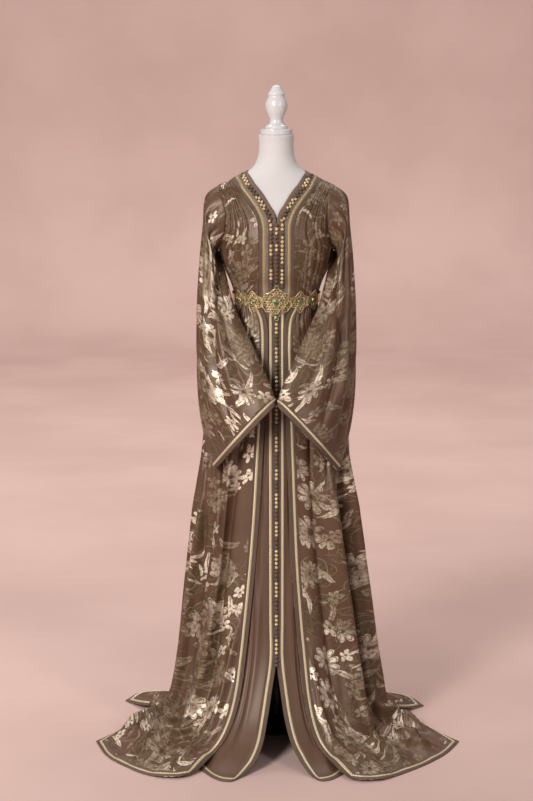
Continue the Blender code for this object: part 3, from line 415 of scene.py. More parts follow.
def robe_back_top(share):
    """How far round the back its top edge lies, and how high: seam, band, other seam."""
    seam_share = BACK_SEAM_COLUMNS / ROBE_BACK_COLUMNS
    on_seam = np.clip(np.minimum(share, 1 - share) / seam_share, 0, 1)
    on_neck = np.clip((share - seam_share) / (1 - 2 * seam_share), 0, 1)
    seam_top = ARMHOLE_MIDDLE + ARMHOLE_HALF_HEIGHT
    rise = (NECK_BAND["outer_height"][0] - seam_top) * on_seam
    return on_neck, seam_top + rise - BACK_NECK_DROP * np.sin(math.pi * on_neck)


def robe_back_rows():
    """The back's rings in one piece, from the right side round to the left."""
    rows = []
    even = np.linspace(0, 1, ROBE_BACK_COLUMNS + 1)
    top_share, top_height = robe_back_top(even)
    inward = np.clip(np.minimum(even, 1 - even) * ROBE_BACK_COLUMNS / BACK_SEAM_COLUMNS, 0, 1)
    arm = armhole_heights()
    for row, height in enumerate(np.concatenate([arm, SKIRT_RINGS])):
        reach = side_angle(height, "back")
        shares = even
        if height <= WAIST_HEIGHT:
            length = row_length(math.pi - reach, math.pi + reach, height, height)
            shares = column_shares(length, ROBE_BACK_COLUMNS, True, True)
        drop = min(1.0, row / ARMHOLE_STEPS)
        spread = top_share + (shares - top_share) * drop ** 0.6
        angle = math.pi - reach + 2 * reach * spread
        row_height = np.full_like(shares, height)
        if row <= ARMHOLE_STEPS:
            side_fall = arm[0] - height
            middle_fall = (top_height - arm[-1]) * drop
            row_height = top_height - side_fall - (middle_fall - side_fall) * inward
        window = np.clip((np.minimum(shares, 1 - shares) - 0.05) / 0.08, 0, 1)
        out = smooth(FOLD_DEPTH, "back", row_height) * window
        out = out * fold_wave(shares, BACK_FOLDS, row_height, 0.14)
        rows.append(body_point(angle, row_height, out))
    hem = hem_points(ROBE_BACK_HEM, 1, shares)
    return np.array(rows + floor_rows(rows[-1], hem, shares, 0.0))


def underskirt_rows(side):
    """An underskirt front's rings, set in behind the robe, from the middle to under it."""
    rows = []
    for height in [ring for ring in SKIRT_RINGS if ring <= WAIST_HEIGHT]:
        tuck = UNDERSKIRT_TUCK if height > LAST_RING_HEIGHT else 0.012
        inner = smooth(UNDERSKIRT_EDGE, side_name(side), height)
        outer = smooth(ROBE_EDGE, side_name(side), height) + tuck
        start, end = (abs(edge_angle(side, across, height)) for across in (inner, outer))
        length = row_length(start, end, height, height)
        shares = column_shares(length, UNDERSKIRT_COLUMNS, True, False)
        inset = UNDERSKIRT_TOP_INSET if height == WAIST_HEIGHT else UNDERSKIRT_INSET
        rows.append(body_point(side * (start + (end - start) * shares), height, -inset))
    hem = hem_points(UNDERSKIRT_HEM[side], side, shares)
    return np.array(rows + floor_rows(rows[-1], hem, shares, 0.0, 0.0))


def neck_band_rows():
    """The band from the right front up the V, round the back neck and down the left."""
    across = np.linspace(0, 1, 4)

    def front_row(side, row):
        outer_height, outer_x, inner_height, inner_x = (
            column[row] for column in NECK_BAND.values())
        inner = edge_angle(side, inner_x, inner_height)
        outer = edge_angle(side, outer_x, outer_height)
        height = inner_height * (1 - across) + outer_height * across
        return body_point(inner + (outer - inner) * across, height)

    count = len(NECK_BAND["outer_x"])
    rows = [front_row(RIGHT, row) for row in range(count - 1, 0, -1)]
    share, height = robe_back_top(np.linspace(0, 1, ROBE_BACK_COLUMNS + 1))
    angle = math.pi / 2 + math.pi * share
    on_neck = slice(BACK_SEAM_COLUMNS, ROBE_BACK_COLUMNS + 1 - BACK_SEAM_COLUMNS)
    inner_height = NECK_BAND["inner_height"][0]
    for neck_angle, outer_height in zip(angle[on_neck], height[on_neck]):
        rise = (outer_height + SEAM_GAP - inner_height) * across
        rows.append(body_point(neck_angle, inner_height + rise))
    return np.array(rows + [front_row(LEFT, row) for row in range(1, count)])


def sleeve_rings(side):
    """A bell sleeve's rings from the armhole to the cuff, each starting at its outer edge."""
    turn = full_turn(2 * ARMHOLE_STEPS)
    share = (1 - np.cos(turn)) / 2
    height = ARMHOLE_MIDDLE + ARMHOLE_HALF_HEIGHT * np.cos(turn)
    front = np.sin(turn) >= 0
    part = armhole_half_depth(height) / depth(BODY, front, height)
    reach = np.arccos(np.clip(part, 0, 1))
    first = body_point(np.where(front, reach, math.pi - reach), height, 2 * WALL + SEAM_GAP)
    first[:, 0] *= LEFT
    rings = [first]
    count = len(SLEEVE["bow"])
    outer, inner = (np.stack([SLEEVE[line + axis] for axis in ("_x", "_y", "_z")], axis=1)
                    for line in ("outer", "inner"))
    if side == RIGHT:
        for line in (outer, inner):
            line[:, 1] -= RIGHT_SLEEVE_FORWARD * np.linspace(0, 1, count) ** 2
    turned_out = np.radians(SLEEVE["turn"])
    facing = np.stack([-np.sin(turned_out), -np.cos(turned_out), 0 * turned_out], axis=1)
    for station in range(count):
        wave = np.sin(2 * math.pi * (2.2 * share + 0.25 * station / count))
        arch = 4 * share * (1 - share)
        off = (SLEEVE["bow"][station] + SLEEVE_FOLD * wave * min(1.0, station / 3)) * arch
        off = off + SLEEVE["half_depth"][station] * np.sin(turn)
        middle = outer[station] + (inner[station] - outer[station]) * share[:, None]
        rings.append(middle + facing[station] * off[:, None])
    gap = rings[-2] - rings[-1]
    rings.insert(-1, rings[-1] + unit(gap) * TRIM_WIDTH)
    tucked = rings[0] + np.array([SLEEVE_TUCK, 0.0, 0.0])
    grid = np.array([tucked] + rings)
    if side == RIGHT:
        grid[:, :, 0] *= -1
    return grid


def grid_normals(points, sign, wrap=False):
    """Unit normals of a grid: the cross product of its two directions at each point."""
    down = np.gradient(points, axis=0)
    if wrap:
        across = (np.roll(points, -1, axis=1) - np.roll(points, 1, axis=1)) / 2
    else:
        across = np.gradient(points, axis=1)
    normal = np.cross(across, down) * sign
    return normal / np.maximum(np.linalg.norm(normal, axis=-1, keepdims=True), 1e-12)


def lengths_along(points, axis):
    """Distances along one direction of a grid, averaged over the other, from 0."""
    step = np.linalg.norm(np.diff(points, axis=axis), axis=-1)
    return np.concatenate([[0.0], np.cumsum(step.mean(axis=1 - axis))])


class Cloth:
    """A panel's fine grid through the rings of its solid, with its places in cloth metres.

    rho and kappa are the fine rows' and columns' places in the coarse grid. across and
    along are metres of cloth from the first edge and from the top.
    """

    def __init__(self, rings, sign, rows, columns, wrap=False):
        self.sign = sign
        self.wrap = wrap
        coarse = np.concatenate([rings, rings[:, :1]], axis=1) if wrap else rings
        length = lengths_along(coarse, 0)
        width = lengths_along(coarse, 1)
        even = np.linspace(0, length[-1], rows + 1)
        self.rho = np.interp(even, length, np.arange(len(length)))
        even = np.linspace(0, width[-1], columns + 1)
        self.kappa = np.interp(even, width, np.arange(len(width)))
        fine = through(np.arange(len(length)), coarse, self.rho)
        overlap = 3 if wrap else 0
        if wrap:
            fine = np.concatenate([fine[:, -1 - overlap:-1], fine, fine[:, 1:1 + overlap]], axis=1)
        knots = np.arange(fine.shape[1]) - overlap
        fine = through(knots, fine.transpose(1, 0, 2), self.kappa).transpose(1, 0, 2)
        self.points = fine[:, :-1] if wrap else fine
        self.measure()

    def measure(self):
        """Normals, and metres of cloth across each row and down from the top."""
        self.normals = grid_normals(self.points, self.sign, self.wrap)
        closed = self.closed(self.points)
        step = np.linalg.norm(np.diff(closed, axis=1), axis=-1)
        self.across = np.concatenate([np.zeros((len(step), 1)), np.cumsum(step, axis=1)], axis=1)
        down = np.linalg.norm(np.diff(closed, axis=0), axis=-1)
        self.along = np.concatenate([np.zeros((1, down.shape[1])), np.cumsum(down, axis=0)])

    def closed(self, values):
        """The grid with its first column again at the end, where it wraps."""
        return np.concatenate([values, values[:, :1]], axis=1) if self.wrap else values

    def shares(self):
        """Shares across and along for every point, each from 0 to 1."""
        count = self.points.shape[1]
        across = self.across[:, :count] / self.across[:, -1:]
        along = self.along[:, :count] / self.along[-1:, :count]
        return across, along

    def push(self, out):
        """Moves every point out along its normal."""
        self.points = self.points + out[..., None] * self.normals
        self.normals = grid_normals(self.points, self.sign, self.wrap)

    def crease(self, creases):
        """Soft troughs and ridges along lines between two places, bowed between them.

        The depth falls off as a bell curve with the distance from the line, and runs out
        at both ends.
        """
        across, along = self.shares()
        width = self.across[:, -1:] + 0 * across
        length = self.along[-1].mean()
        out = np.zeros_like(across)
        for start_u, start_v, end_u, end_v, bow, half, depth in zip(*creases.values()):
            run_v = (end_v - start_v) * length
            run_u = (end_u - start_u) * width
            away_u = (across - start_u) * width
            away_v = (along - start_v) * length
            total = run_u ** 2 + run_v ** 2
            part = (away_u * run_u + away_v * run_v) / total
            offset = (away_u * run_v - away_v * run_u) / np.sqrt(total)
            offset = offset - bow * np.sin(math.pi * np.clip(part, 0, 1))
            ends = np.clip(part / 0.3 + 0.15, 0, 1) * np.clip((1 - part) / 0.3 + 0.15, 0, 1)
            ends = ends * ends * (3 - 2 * ends)
            out += depth * ends * np.exp(-np.abs(offset / half) ** 1.6)
        self.push(out)

    def at(self, rho, kappa):
        """Points and normals at places in the coarse grid, straight between fine points."""
        row = np.interp(rho, self.rho, np.arange(len(self.rho)))
        column = np.interp(kappa, self.kappa, np.arange(len(self.kappa)))
        low_row = np.clip(row.astype(int), 0, len(self.rho) - 2)
        low_column = np.clip(column.astype(int), 0, len(self.kappa) - 2)
        row_part = (row - low_row)[..., None]
        column_part = (column - low_column)[..., None]

        def blend(values):
            values = self.closed(values)
            top, low = (values[line, low_column] * (1 - column_part)
                        + values[line, low_column + 1] * column_part
                        for line in (low_row, low_row + 1))
            return top * (1 - row_part) + low * row_part

        return blend(self.points), unit(blend(self.normals))


def quads(rows, columns, stride):
    """Corner numbers of a grid's faces; past the last point of a row comes its first."""
    row, column = np.meshgrid(np.arange(rows), np.arange(columns), indexing="ij")
    after = (column + 1) % stride
    corners = [row * stride + column, row * stride + after,
               (row + 1) * stride + after, (row + 1) * stride + column]
    return np.stack(corners, axis=-1).reshape(-1, 4)


class Piece:
    """A mesh gathered from grids: points, four-sided faces and places on the cloth."""

    def __init__(self):
        self.points = []
        self.faces = []
        self.places = []
        self.tones = []
        self.count = 0

    def add(self, points, places=None, sign=1, wrap=False, tone=0.0):
        """Adds one grid, or a stack of grids, as rows and columns of faces."""
        stack = points.reshape((-1,) + points.shape[-3:])
        layers, rows, columns = stack.shape[:3]
        across = columns if wrap else columns - 1
        face = quads(rows - 1, across, columns)[:, ::sign]
        spot = quads(rows - 1, across, across + 1)[:, ::sign]
        if places is None:
            places = np.zeros((rows, across + 1, 2))
        flat = np.broadcast_to(places, (layers,) + places.shape[-3:]).reshape(layers, -1, 2)
        starts = np.arange(layers)[:, None, None] * rows * columns
        self.faces.append((face[None] + starts + self.count).reshape(-1, 4))
        self.places.append(flat[:, spot].reshape(-1, 2))
        self.points.append(stack.reshape(-1, 3))
        tone = np.broadcast_to(np.reshape(tone, (-1, 1)), (layers, rows * columns))
        self.tones.append(tone.reshape(-1))
        self.count += layers * rows * columns
        return self

    def make(self, name, finish, slot, nodes, wall=0.0, offset=1.0):
        """The finished object, riding on the root in place of its nodes.

        A wall is added outside the grid, or inside it where offset is -1.
        """
        points = np.concatenate(self.points)
        faces = np.concatenate(self.faces)
        mesh = bpy.data.meshes.new(name)
        mesh.vertices.add(len(points))
        mesh.vertices.foreach_set("co", points.astype(np.float32).ravel())
        mesh.loops.add(faces.size)
        mesh.loops.foreach_set("vertex_index", faces.astype(np.int32).ravel())
        mesh.polygons.add(len(faces))
        mesh.polygons.foreach_set("loop_start", np.arange(0, faces.size, 4, dtype=np.int32))
        mesh.update(calc_edges=True)
        layer = mesh.uv_layers.new(name="cloth")
        layer.data.foreach_set("uv", np.concatenate(self.places).astype(np.float32).ravel())
        tone = mesh.attributes.new("tone", "FLOAT", "POINT")
        tone.data.foreach_set("value", np.concatenate(self.tones).astype(np.float32))
        mesh.shade_smooth()
        mesh.validate()
        piece = bpy.data.objects.new(name, mesh)
        bpy.context.scene.collection.objects.link(piece)
        mesh.materials.append(finish)
        if wall:
            thicken = piece.modifiers.new("Wall", "SOLIDIFY")
            thicken.thickness = wall
            thicken.offset = offset
        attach(piece, "root")
        if nodes:
            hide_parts(*nodes)
        return piece


class Value:
    """A number over the surface; arithmetic on it adds Math nodes."""

    def __init__(self, paint, socket):
        self.paint = paint
        self.socket = socket

    def math(self, operation, *others):
        """One Math node on this value and the others."""
        settings = {"operation": operation}
        return self.paint.node("ShaderNodeMath", settings, dict(enumerate((self,) + others)))

    def largest(self, *others):
        """The largest of this value and the others."""
        result = self
        for other in others:
            result = result.math("MAXIMUM", other)
        return result

    def __add__(self, other):
        return self.math("ADD", other)

    def __mul__(self, other):
        return self.math("MULTIPLY", other)

    def __sub__(self, other):
        return self.math("SUBTRACT", other)

    def __truediv__(self, other):
        return self.math("DIVIDE", other)

    def __pow__(self, other):
        return self.math("POWER", other)

    def __rsub__(self, other):
        return self * -1.0 + other

    def __abs__(self):
        return self.math("ABSOLUTE")

    __radd__ = __add__
    __rmul__ = __mul__

    def step(self, low, high):
        """0 below low, 1 above high, and an easy curve between."""
        settings = {"interpolation_type": "SMOOTHSTEP"}
        inputs = {"Value": self, "From Min": low, "From Max": high}
        return self.paint.node("ShaderNodeMapRange", settings, inputs)


class Paint:
    """One material's nodes, ending in a Principled shader."""

    def __init__(self, name, **constants):
        self.material = bpy.data.materials.new(name)
        self.material.use_nodes = True
        self.tree = self.material.node_tree
        self.shader = self.tree.nodes["Principled BSDF"]
        for socket, value in constants.items():
            self.shader.inputs[socket.replace("_", " ")].default_value = value

    def node(self, kind, settings=None, inputs=None, output=0):
        """Adds a node: its settings first, then values or links for its sockets."""
        made = self.tree.nodes.new(kind)
        for key, value in (settings or {}).items():
            setattr(made, key, value)
        for key, value in (inputs or {}).items():
            if isinstance(value, Value):
                self.tree.links.new(value.socket, made.inputs[key])
            else:
                made.inputs[key].default_value = value
        return Value(self, made.outputs[output])

    def places(self):
        """The piece's own place on the cloth, in metres."""
        return self.node("ShaderNodeUVMap", {"uv_map": "cloth"})

    def object_places(self):
        """The place in the object's own space, in metres."""
        return self.node("ShaderNodeTexCoord", output="Object")

    def clouds(self, scale, detail=2.0):
        """Soft noise through the object's own space."""
        inputs = {"Vector": self.object_places(), "Scale": scale, "Detail": detail}
        return self.node("ShaderNodeTexNoise", None, inputs)

    def apart(self, vector):
        """A vector's x, y and z."""
        split = self.tree.nodes.new("ShaderNodeSeparateXYZ")
        self.tree.links.new(vector.socket, split.inputs[0])
        return [Value(self, socket) for socket in split.outputs]

    def joined(self, x, y):
        """A flat vector from its x and y."""
        return self.node("ShaderNodeCombineXYZ", None, {"X": x, "Y": y})

    def vector(self, operation, first, second):
        """One Vector Math node on two vectors."""
        return self.node("ShaderNodeVectorMath", {"operation": operation}, {0: first, 1: second})

    def noise(self, vector, scale, detail=2.0, roughness=0.5, output="Fac"):
        """Soft noise over the flat cloth."""
        inputs = {"Vector": vector, "Scale": scale, "Detail": detail, "Roughness": roughness}
        return self.node("ShaderNodeTexNoise", {"noise_dimensions": "2D"}, inputs, output)

    def colour(self, factor, first, second):
        """Two colours mixed by a factor."""
        mix = self.node("ShaderNodeMix", {"data_type": "RGBA"}, {"Factor": factor}).socket.node
        colours = [s for s in mix.inputs if s.type == "RGBA"]
        for socket, value in zip(colours, (first, second)):
            if isinstance(value, Value):
                self.tree.links.new(value.socket, socket)
            else:
                socket.default_value = (*value, 1.0)
        return Value(self, next(s for s in mix.outputs if s.type == "RGBA"))

    def bump(self, height, strength, distance):
        """Fine relief from a height between about -1 and 1."""
        inputs = {"Height": height, "Strength": strength, "Distance": distance}
        self.set("Normal", self.node("ShaderNodeBump", None, inputs))

    def set(self, socket, value):
        """Feeds one of the shader's own sockets."""
        self.tree.links.new(value.socket, self.shader.inputs[socket])


ONCE_ROUND = 6.28
WARM_SHINE = (1.0, 0.88, 0.78, 1.0)


def scattered(paint, places, scale, shift):
    """Places scattered one to a cell: x and y from the cell's own middle, and its chances."""
    moved = paint.vector("ADD", places, (shift, 2 * shift, 0.0))
    inputs = {"Vector": moved, "Scale": scale, "Randomness": 0.9}
    cells = paint.node("ShaderNodeTexVoronoi", {"voronoi_dimensions": "2D"}, inputs)
    outputs = cells.socket.node.outputs
    x, y, _ = paint.apart(paint.vector("SUBTRACT", moved, Value(paint, outputs["Position"])))
    return x, y, paint.apart(Value(paint, outputs["Color"]))


def flowers(paint, places, scale, petals, radius, notch, shift):
    """Flowers on scattered cells: metres inside the outline, the share of its size, a chance.

    The outline's radius falls by the notch's share between petals.
    """
    x, y, chance = scattered(paint, places, scale, shift)
    angle = y.math("ARCTAN2", x) + chance[0] * ONCE_ROUND
    reach = (x * x + y * y).math("SQRT")
    wave = abs((angle * (petals / 2)).math("COSINE"))
    size = radius * (0.55 + 0.45 * chance[1])
    outline = size * ((1 - notch) + notch * wave ** 0.6)
    return outline - reach, reach / size, chance[2]


def leaves(paint, places, scale, length, width, lobes, shift):
    """Bent leaves turned at random: metres inside the outline, metres from the midrib, shares
    along and a chance.

    The outline is a parabola either side of the rib, scalloped into lobes.
    """
    x, y, chance = scattered(paint, places, scale, shift)
    turn = chance[0] * ONCE_ROUND
    cosine, sine = turn.math("COSINE"), turn.math("SINE")
    along = (x * cosine + y * sine) / length
    aside = abs(y * cosine - x * sine + along * along * (width * 1.2))
    half = width * (1 - along * along)
    if lobes:
        half = half * (0.62 + 0.38 * abs((along * lobes).math("COSINE")))
    return half - aside, aside, along, chance[2]


def woven_height(paint, places, pitch):
    """A fine twill: slanting ribs crossed by the warp."""
    x, y, _ = paint.apart(places)
    rib = ((x + y) * (math.pi / pitch)).math("SINE")
    warp = ((x - y) * (math.pi / pitch)).math("SINE")
    return rib * 0.6 + warp * 0.4


def patterned_satin():
    """Taupe satin: bronze roses, fronds and curls with pale outlines in the ground, and above
    them flower heads, buds, leaves and sprigs in thread that runs from beige to silver.

    Each motif is full where its own formula is above 0, in its colour's share of 0 to 1.
    """
    paint = Paint("patterned satin", Specular_IOR_Level=0.42, Specular_Tint=WARM_SHINE)
    places = paint.places()
    bend = paint.noise(places, 11.0, 2.0, output="Color")
    bend = paint.vector("SUBTRACT", bend, (0.5, 0.5, 0.5))
    bend = paint.vector("MULTIPLY", bend, (0.034, 0.034, 0.0))
    bent = paint.vector("ADD", places, bend)
    spread = paint.noise(places, 3.6, 2.0)
    rose, rose_ring, _ = flowers(paint, bent, 7.0, 9, 0.064, 0.16, 1.3)
    frond, frond_rib, frond_along, _ = leaves(paint, bent, 10.0, 0.070, 0.019, 9.0, 4.6)
    curl, _, _, _ = leaves(paint, bent, 15.0, 0.040, 0.011, 6.0, 9.4)
    shapes = rose.largest(frond, curl)
    veins = (frond_along * 26.0 + frond_rib * 420.0).math("SINE").step(0.2, 0.8)
    bronze = shapes.step(-0.0002, 0.0008) * spread.step(0.40, 0.46)
    lines = 1 - abs(shapes).step(0.0005, 0.0013)
    lines = lines.largest(1 - abs(rose_ring - 0.62).step(0.02, 0.04))
    lines = lines * spread.step(0.36, 0.42)
    petal, ring, petal_pick = flowers(paint, bent, 9.5, 9, 0.048, 0.62, 0.0)
    bud, bud_ring, bud_pick = flowers(paint, bent, 18.0, 5, 0.023, 0.82, 5.3)
    leaf, rib, _, leaf_pick = leaves(paint, bent, 13.0, 0.036, 0.0078, 0.0, 2.1)
    sprig, _, _, sprig_pick = leaves(paint, bent, 24.0, 0.020, 0.0040, 0.0, 8.8)
    contour = abs(petal - 0.0048).step(0.0006, 0.0014) * ring.step(0.16, 0.24)
    heads = petal.step(-0.0003, 0.0006) * contour * petal_pick.step(0.34, 0.35)
    buds = bud.step(-0.0003, 0.0005) * bud_ring.step(0.12, 0.24) * bud_pick.step(0.50, 0.51)
    greens = leaf.step(-0.0002, 0.0005) * rib.step(0.0003, 0.0009) * leaf_pick.step(0.36, 0.37)
    sprigs = sprig.step(-0.0002, 0.0005) * sprig_pick.step(0.24, 0.25) * spread.step(0.42, 0.48)
    motif = heads.largest(buds, greens, sprigs)
    lustre = paint.noise(places, 5.0, 2.0, 0.6).step(0.42, 0.66)
    grain = paint.noise(places, 130.0, 3.0, 0.75)
    shade = paint.noise(places, 14.0, 3.0)
    ground = paint.colour(shade, (0.062, 0.029, 0.016), (0.106, 0.054, 0.031))
    scroll = paint.colour(grain.step(0.25, 0.75), (0.036, 0.021, 0.010), (0.112, 0.069, 0.034))
    silver = paint.colour(grain.step(0.25, 0.62), (0.180, 0.122, 0.080), (0.740, 0.620, 0.505))
    beige = paint.colour(grain.step(0.25, 0.70), (0.062, 0.039, 0.021), (0.200, 0.138, 0.084))
    shine = (0.06 + 0.94 * lustre) * (0.40 + 0.60 * ring.step(0.15, 0.75))
    thread = paint.colour(shine, beige, silver)
    cloth = paint.colour(bronze * (0.9 - veins * 0.35), ground, scroll)
    cloth = paint.colour(lines * 0.42, cloth, (0.270, 0.187, 0.112))
    paint.set("Base Color", paint.colour(motif, cloth, thread))
    paint.set("Metallic", motif * (0.12 + 0.43 * lustre) + lines * 0.12)
    paint.set("Roughness", 0.33 + bronze * 0.10 + motif * 0.05 + grain * 0.10)
    height = motif * 0.6 + bronze * 0.25 + lines * 0.3 + (motif + bronze * 0.5) * grain * 0.5
    paint.bump(height + woven_height(paint, places, 0.0016) * 0.05, 0.6, 0.0011)
    return paint.material


def plain_satin():
    """Plain taupe satin with soft vertical streaks and a fine twill."""
    paint = Paint("plain satin", Specular_IOR_Level=0.40, Specular_Tint=WARM_SHINE)
    places = paint.places()
    x, y, _ = paint.apart(places)
    streaks = paint.noise(paint.joined(x, y * 0.05), 90.0, 3.0, 0.6)
    shade = streaks * 0.5 + paint.noise(places, 7.0, 2.0) * 0.5
    paint.set("Base Color", paint.colour(shade, (0.062, 0.031, 0.018), (0.110, 0.058, 0.036)))
    paint.set("Roughness", 0.36 + 0.10 * streaks)
    paint.bump(woven_height(paint, places, 0.0015) * 0.2 + streaks * 0.5, 0.3, 0.0006)
    return paint.material


def braid(name, gold_range, pale_range=None, edge_to=0.0):
    """Silk braid, by the place across it in metres: twisted brown cords and one band of gold.

    A range given as pale is lighter, and the first metres up to edge_to are plain cloth.
    """
    paint = Paint(name, Specular_IOR_Level=0.5)
    places = paint.places()
    across, along, _ = paint.apart(places)

    def above(level, soft=0.0002):
        return across.step(level - soft, level + soft)

    def band(low, high):
        return above(low) * (1 - above(high))

    gold = band(*gold_range)
    middle = sum(gold_range) / 2
    twist = ((along + across * 0.8) * (2 * math.pi / 0.0026)).math("SINE")
    knit = ((along - abs(across - middle) * 0.9) * (2 * math.pi / 0.0044)).math("SINE")
    wear = paint.noise(places, 60.0, 3.0)
    mark = twist.step(-0.9, 0.8) * 0.6 + wear * 0.4
    cloth = paint.colour(mark, (0.034, 0.020, 0.013), (0.165, 0.103, 0.070))
    if pale_range:
        pale = paint.colour(mark, (0.070, 0.050, 0.036), (0.270, 0.210, 0.160))
        cloth = paint.colour(band(*pale_range), cloth, pale)
        bright = paint.colour(knit.step(-0.8, 0.6), (0.190, 0.122, 0.055), (0.480, 0.355, 0.200))
    else:
        bright = paint.colour(knit.step(-0.8, 0.6), (0.340, 0.240, 0.120), (0.760, 0.640, 0.430))
    cloth = paint.colour(gold, cloth, bright)
    if edge_to:
        plain = paint.colour(wear, (0.100, 0.055, 0.034), (0.165, 0.098, 0.067))
        cloth = paint.colour(1 - above(edge_to, 0.0003), cloth, plain)
    paint.set("Base Color", cloth)
    paint.set("Metallic", gold * 0.30)
    paint.set("Roughness", 0.62 - gold * 0.24)
    paint.bump(twist * (1 - gold) * 0.6 + knit * gold, 0.5, 0.0006)
    return paint.material


def button_thread():
    """Knotted thread: gold on some buttons and dark brown on others, wound both ways."""
    paint = Paint("knot button thread", Specular_IOR_Level=0.5)
    tone = paint.node("ShaderNodeAttribute", {"attribute_name": "tone"}, None, "Fac")
    across, along, _ = paint.apart(paint.places())
    one_way, other_way = (across * 37.7 + along * turns for turns in (18.8, -18.8))
    wound = one_way.math("SINE") * other_way.math("SINE")
    dark = paint.colour(wound.step(-0.5, 0.6), (0.040, 0.024, 0.015), (0.215, 0.140, 0.092))
    bright = paint.colour(wound.step(-0.6, 0.5), (0.420, 0.290, 0.130), (0.950, 0.790, 0.500))
    paint.set("Base Color", paint.colour(tone, dark, bright))
    paint.set("Metallic", tone * 0.5)
    paint.set("Roughness", 0.5 - 0.16 * tone)
    paint.bump(wound, 0.6, 0.0008)
    return paint.material


def gilt():
    """Cast gilt metal, with fine wear in patches of lighter and darker gold."""
    paint = Paint("gilt filigree", Metallic=1.0)
    wear = paint.clouds(160.0, 3.0)
    gold = paint.colour(wear.step(0.3, 0.7), (0.520, 0.375, 0.165), (0.860, 0.720, 0.450))
    paint.set("Base Color", gold)
    paint.set("Roughness", 0.22 + 0.16 * wear)
    paint.bump(wear, 0.25, 0.0004)
    return paint.material


def green_stone():
    """Polished green stone with faint clouds inside."""
    paint = Paint("green stone", Coat_Weight=0.8, Coat_Roughness=0.03, Specular_IOR_Level=0.8)
    clouds = paint.clouds(300.0)
    paint.set("Base Color", paint.colour(clouds, (0.001, 0.040, 0.010), (0.008, 0.150, 0.040)))
    paint.set("Roughness", 0.06 + 0.06 * clouds)
    return paint.material


def white_jersey():
    """The form's off-white knitted cover: tiny loops in rows, faintly shaded."""
    paint = Paint("white jersey", Sheen_Weight=0.1, Specular_IOR_Level=0.3)
    x, y, z = paint.apart(paint.object_places())
    x, y, z = (part.math("SINE") for part in (x * 4200.0, y * 4200.0, z * 5200.0))
    loops = x * z + y * 0.5
    shade = paint.clouds(9.0)
    paint.set("Base Color", paint.colour(shade, (0.52, 0.495, 0.490), (0.59, 0.565, 0.560)))
    paint.set("Roughness", 0.72 + 0.1 * shade)
    paint.bump(loops, 0.15, 0.0002)
    return paint.material


def gloss_paint(name, first, second, roughness):
    """Gloss paint over turned wood or steel, with a faint orange peel."""
    paint = Paint(name, Coat_Weight=0.5, Coat_Roughness=0.08)
    cloud = paint.clouds(14.0)
    paint.set("Base Color", paint.colour(cloud, first, second))
    paint.set("Roughness", roughness + 0.08 * cloud)
    paint.bump(paint.clouds(220.0), 0.08, 0.0004)
    return paint.material


def paper(name, first, second):
    """The studio's matt paper, in faint clouds, with painted shade that darkens it the higher it
    hangs.
    """
    paint = Paint(name, Specular_IOR_Level=0.1, Roughness=0.9)
    _, _, z = paint.apart(paint.object_places())
    cloud = paint.clouds(1.3, 4.0).step(0.3, 0.7) * 0.8 + paint.clouds(260.0) * 0.2
    clear = paint.colour(cloud, first, second)
    # Painted shade: the paper's colour is mixed toward dark brown with height, standing in for
    # light that falls off up the backdrop
    painted_height_shade = z.step(0.2, 3.2) * 0.24
    paint.set("Base Color", paint.colour(painted_height_shade, clear, (0.10, 0.060, 0.050)))
    return paint.material


def creases(rows):
    """A table of creases: where each starts and ends, in percent across and along the cloth,
    then its bow, half width and depth in millimetres, the depth negative for a trough.
    """
    scale = [0.01] * 4 + [0.001] * 3
    return table("start_u start_v end_u end_v bow half depth", np.array(rows) * scale)


ROBE_FRONT_CREASES = {
    LEFT: creases([
        (18, 2, 24, 20, 4, 5, -4), (33, 1, 38, 22, -3, 4.5, -3.8), (47, 1, 50, 21, 3, 4.5, -4.2),
        (62, 1, 62, 23, 4, 5, -4), (90, 5, 86, 20, 2, 9, -8), (78, 8, 74, 22, 3, 6, -4.5),
        (30, 26, 22, 46, 6, 6.2, -9.9), (50, 27, 40, 58, 8, 6.6, -14.8),
        (70, 26, 60, 62, 6, 7.5, -16.5), (86, 28, 80, 58, 4, 6.6, -13.2),
        (36, 42, 40, 93, -10, 12, 24.8), (27, 40, 28, 86, 6, 7.5, -13.2),
        (50, 50, 53, 90, 8, 8.3, -23.1), (62, 40, 66, 92, 12, 12, 24.8),
        (76, 48, 80, 88, 4, 7.9, -21.4), (89, 42, 90, 90, -6, 10.1, 16.5),
        (10, 72, 15, 96.5, 6, 7.7, 18.7), (26, 86, 62, 97, 12, 7.7, 27.4),
        (44, 83, 84, 95.8, 16, 8, 33), (66, 82, 95.5, 94.5, 16, 7.7, 33),
        (80, 82, 97, 91.5, 10, 8.3, 19.8), (36, 93, 52, 98, 4, 5.8, 14.4),
    ]),
    RIGHT: creases([
        (20, 2, 25, 19, 3, 5, -3.6), (37, 1, 40, 21, 4, 5, -4), (52, 1, 52, 22, -3, 4.5, -3.6),
        (68, 2, 66, 24, 4, 5.5, -4), (90, 5, 86, 20, 2, 10, -9.5), (79, 7, 75, 21, 3, 6, -4.5),
        (28, 27, 24, 50, 5, 6.6, -9.9), (48, 26, 40, 52, 6, 6.6, -14.8),
        (66, 27, 60, 60, 6, 7.1, -16.5), (84, 28, 80, 60, 6, 6.6, -13.2),
        (24, 44, 24, 90, 8, 9.9, -11.6), (42, 42, 44, 92, 10, 13.8, 24.8),
        (60, 46, 63, 93, 10, 8.3, -36.2), (73, 42, 76, 92, 10, 11, 28.1),
        (86, 50, 88, 90, 4, 7.1, -18.2), (10, 76, 13, 96.5, -5, 7.3, 15.8),
        (22, 86, 46, 97.2, 10, 7.3, 21.5), (42, 86, 74, 96.2, 14, 8.4, 28.7),
        (62, 83, 93, 95, 14, 8, 31.6), (80, 84, 97, 92, 10, 8.3, 19.8),
        (60, 94, 82, 98.2, 4, 5.3, 12.9),
    ]),
}
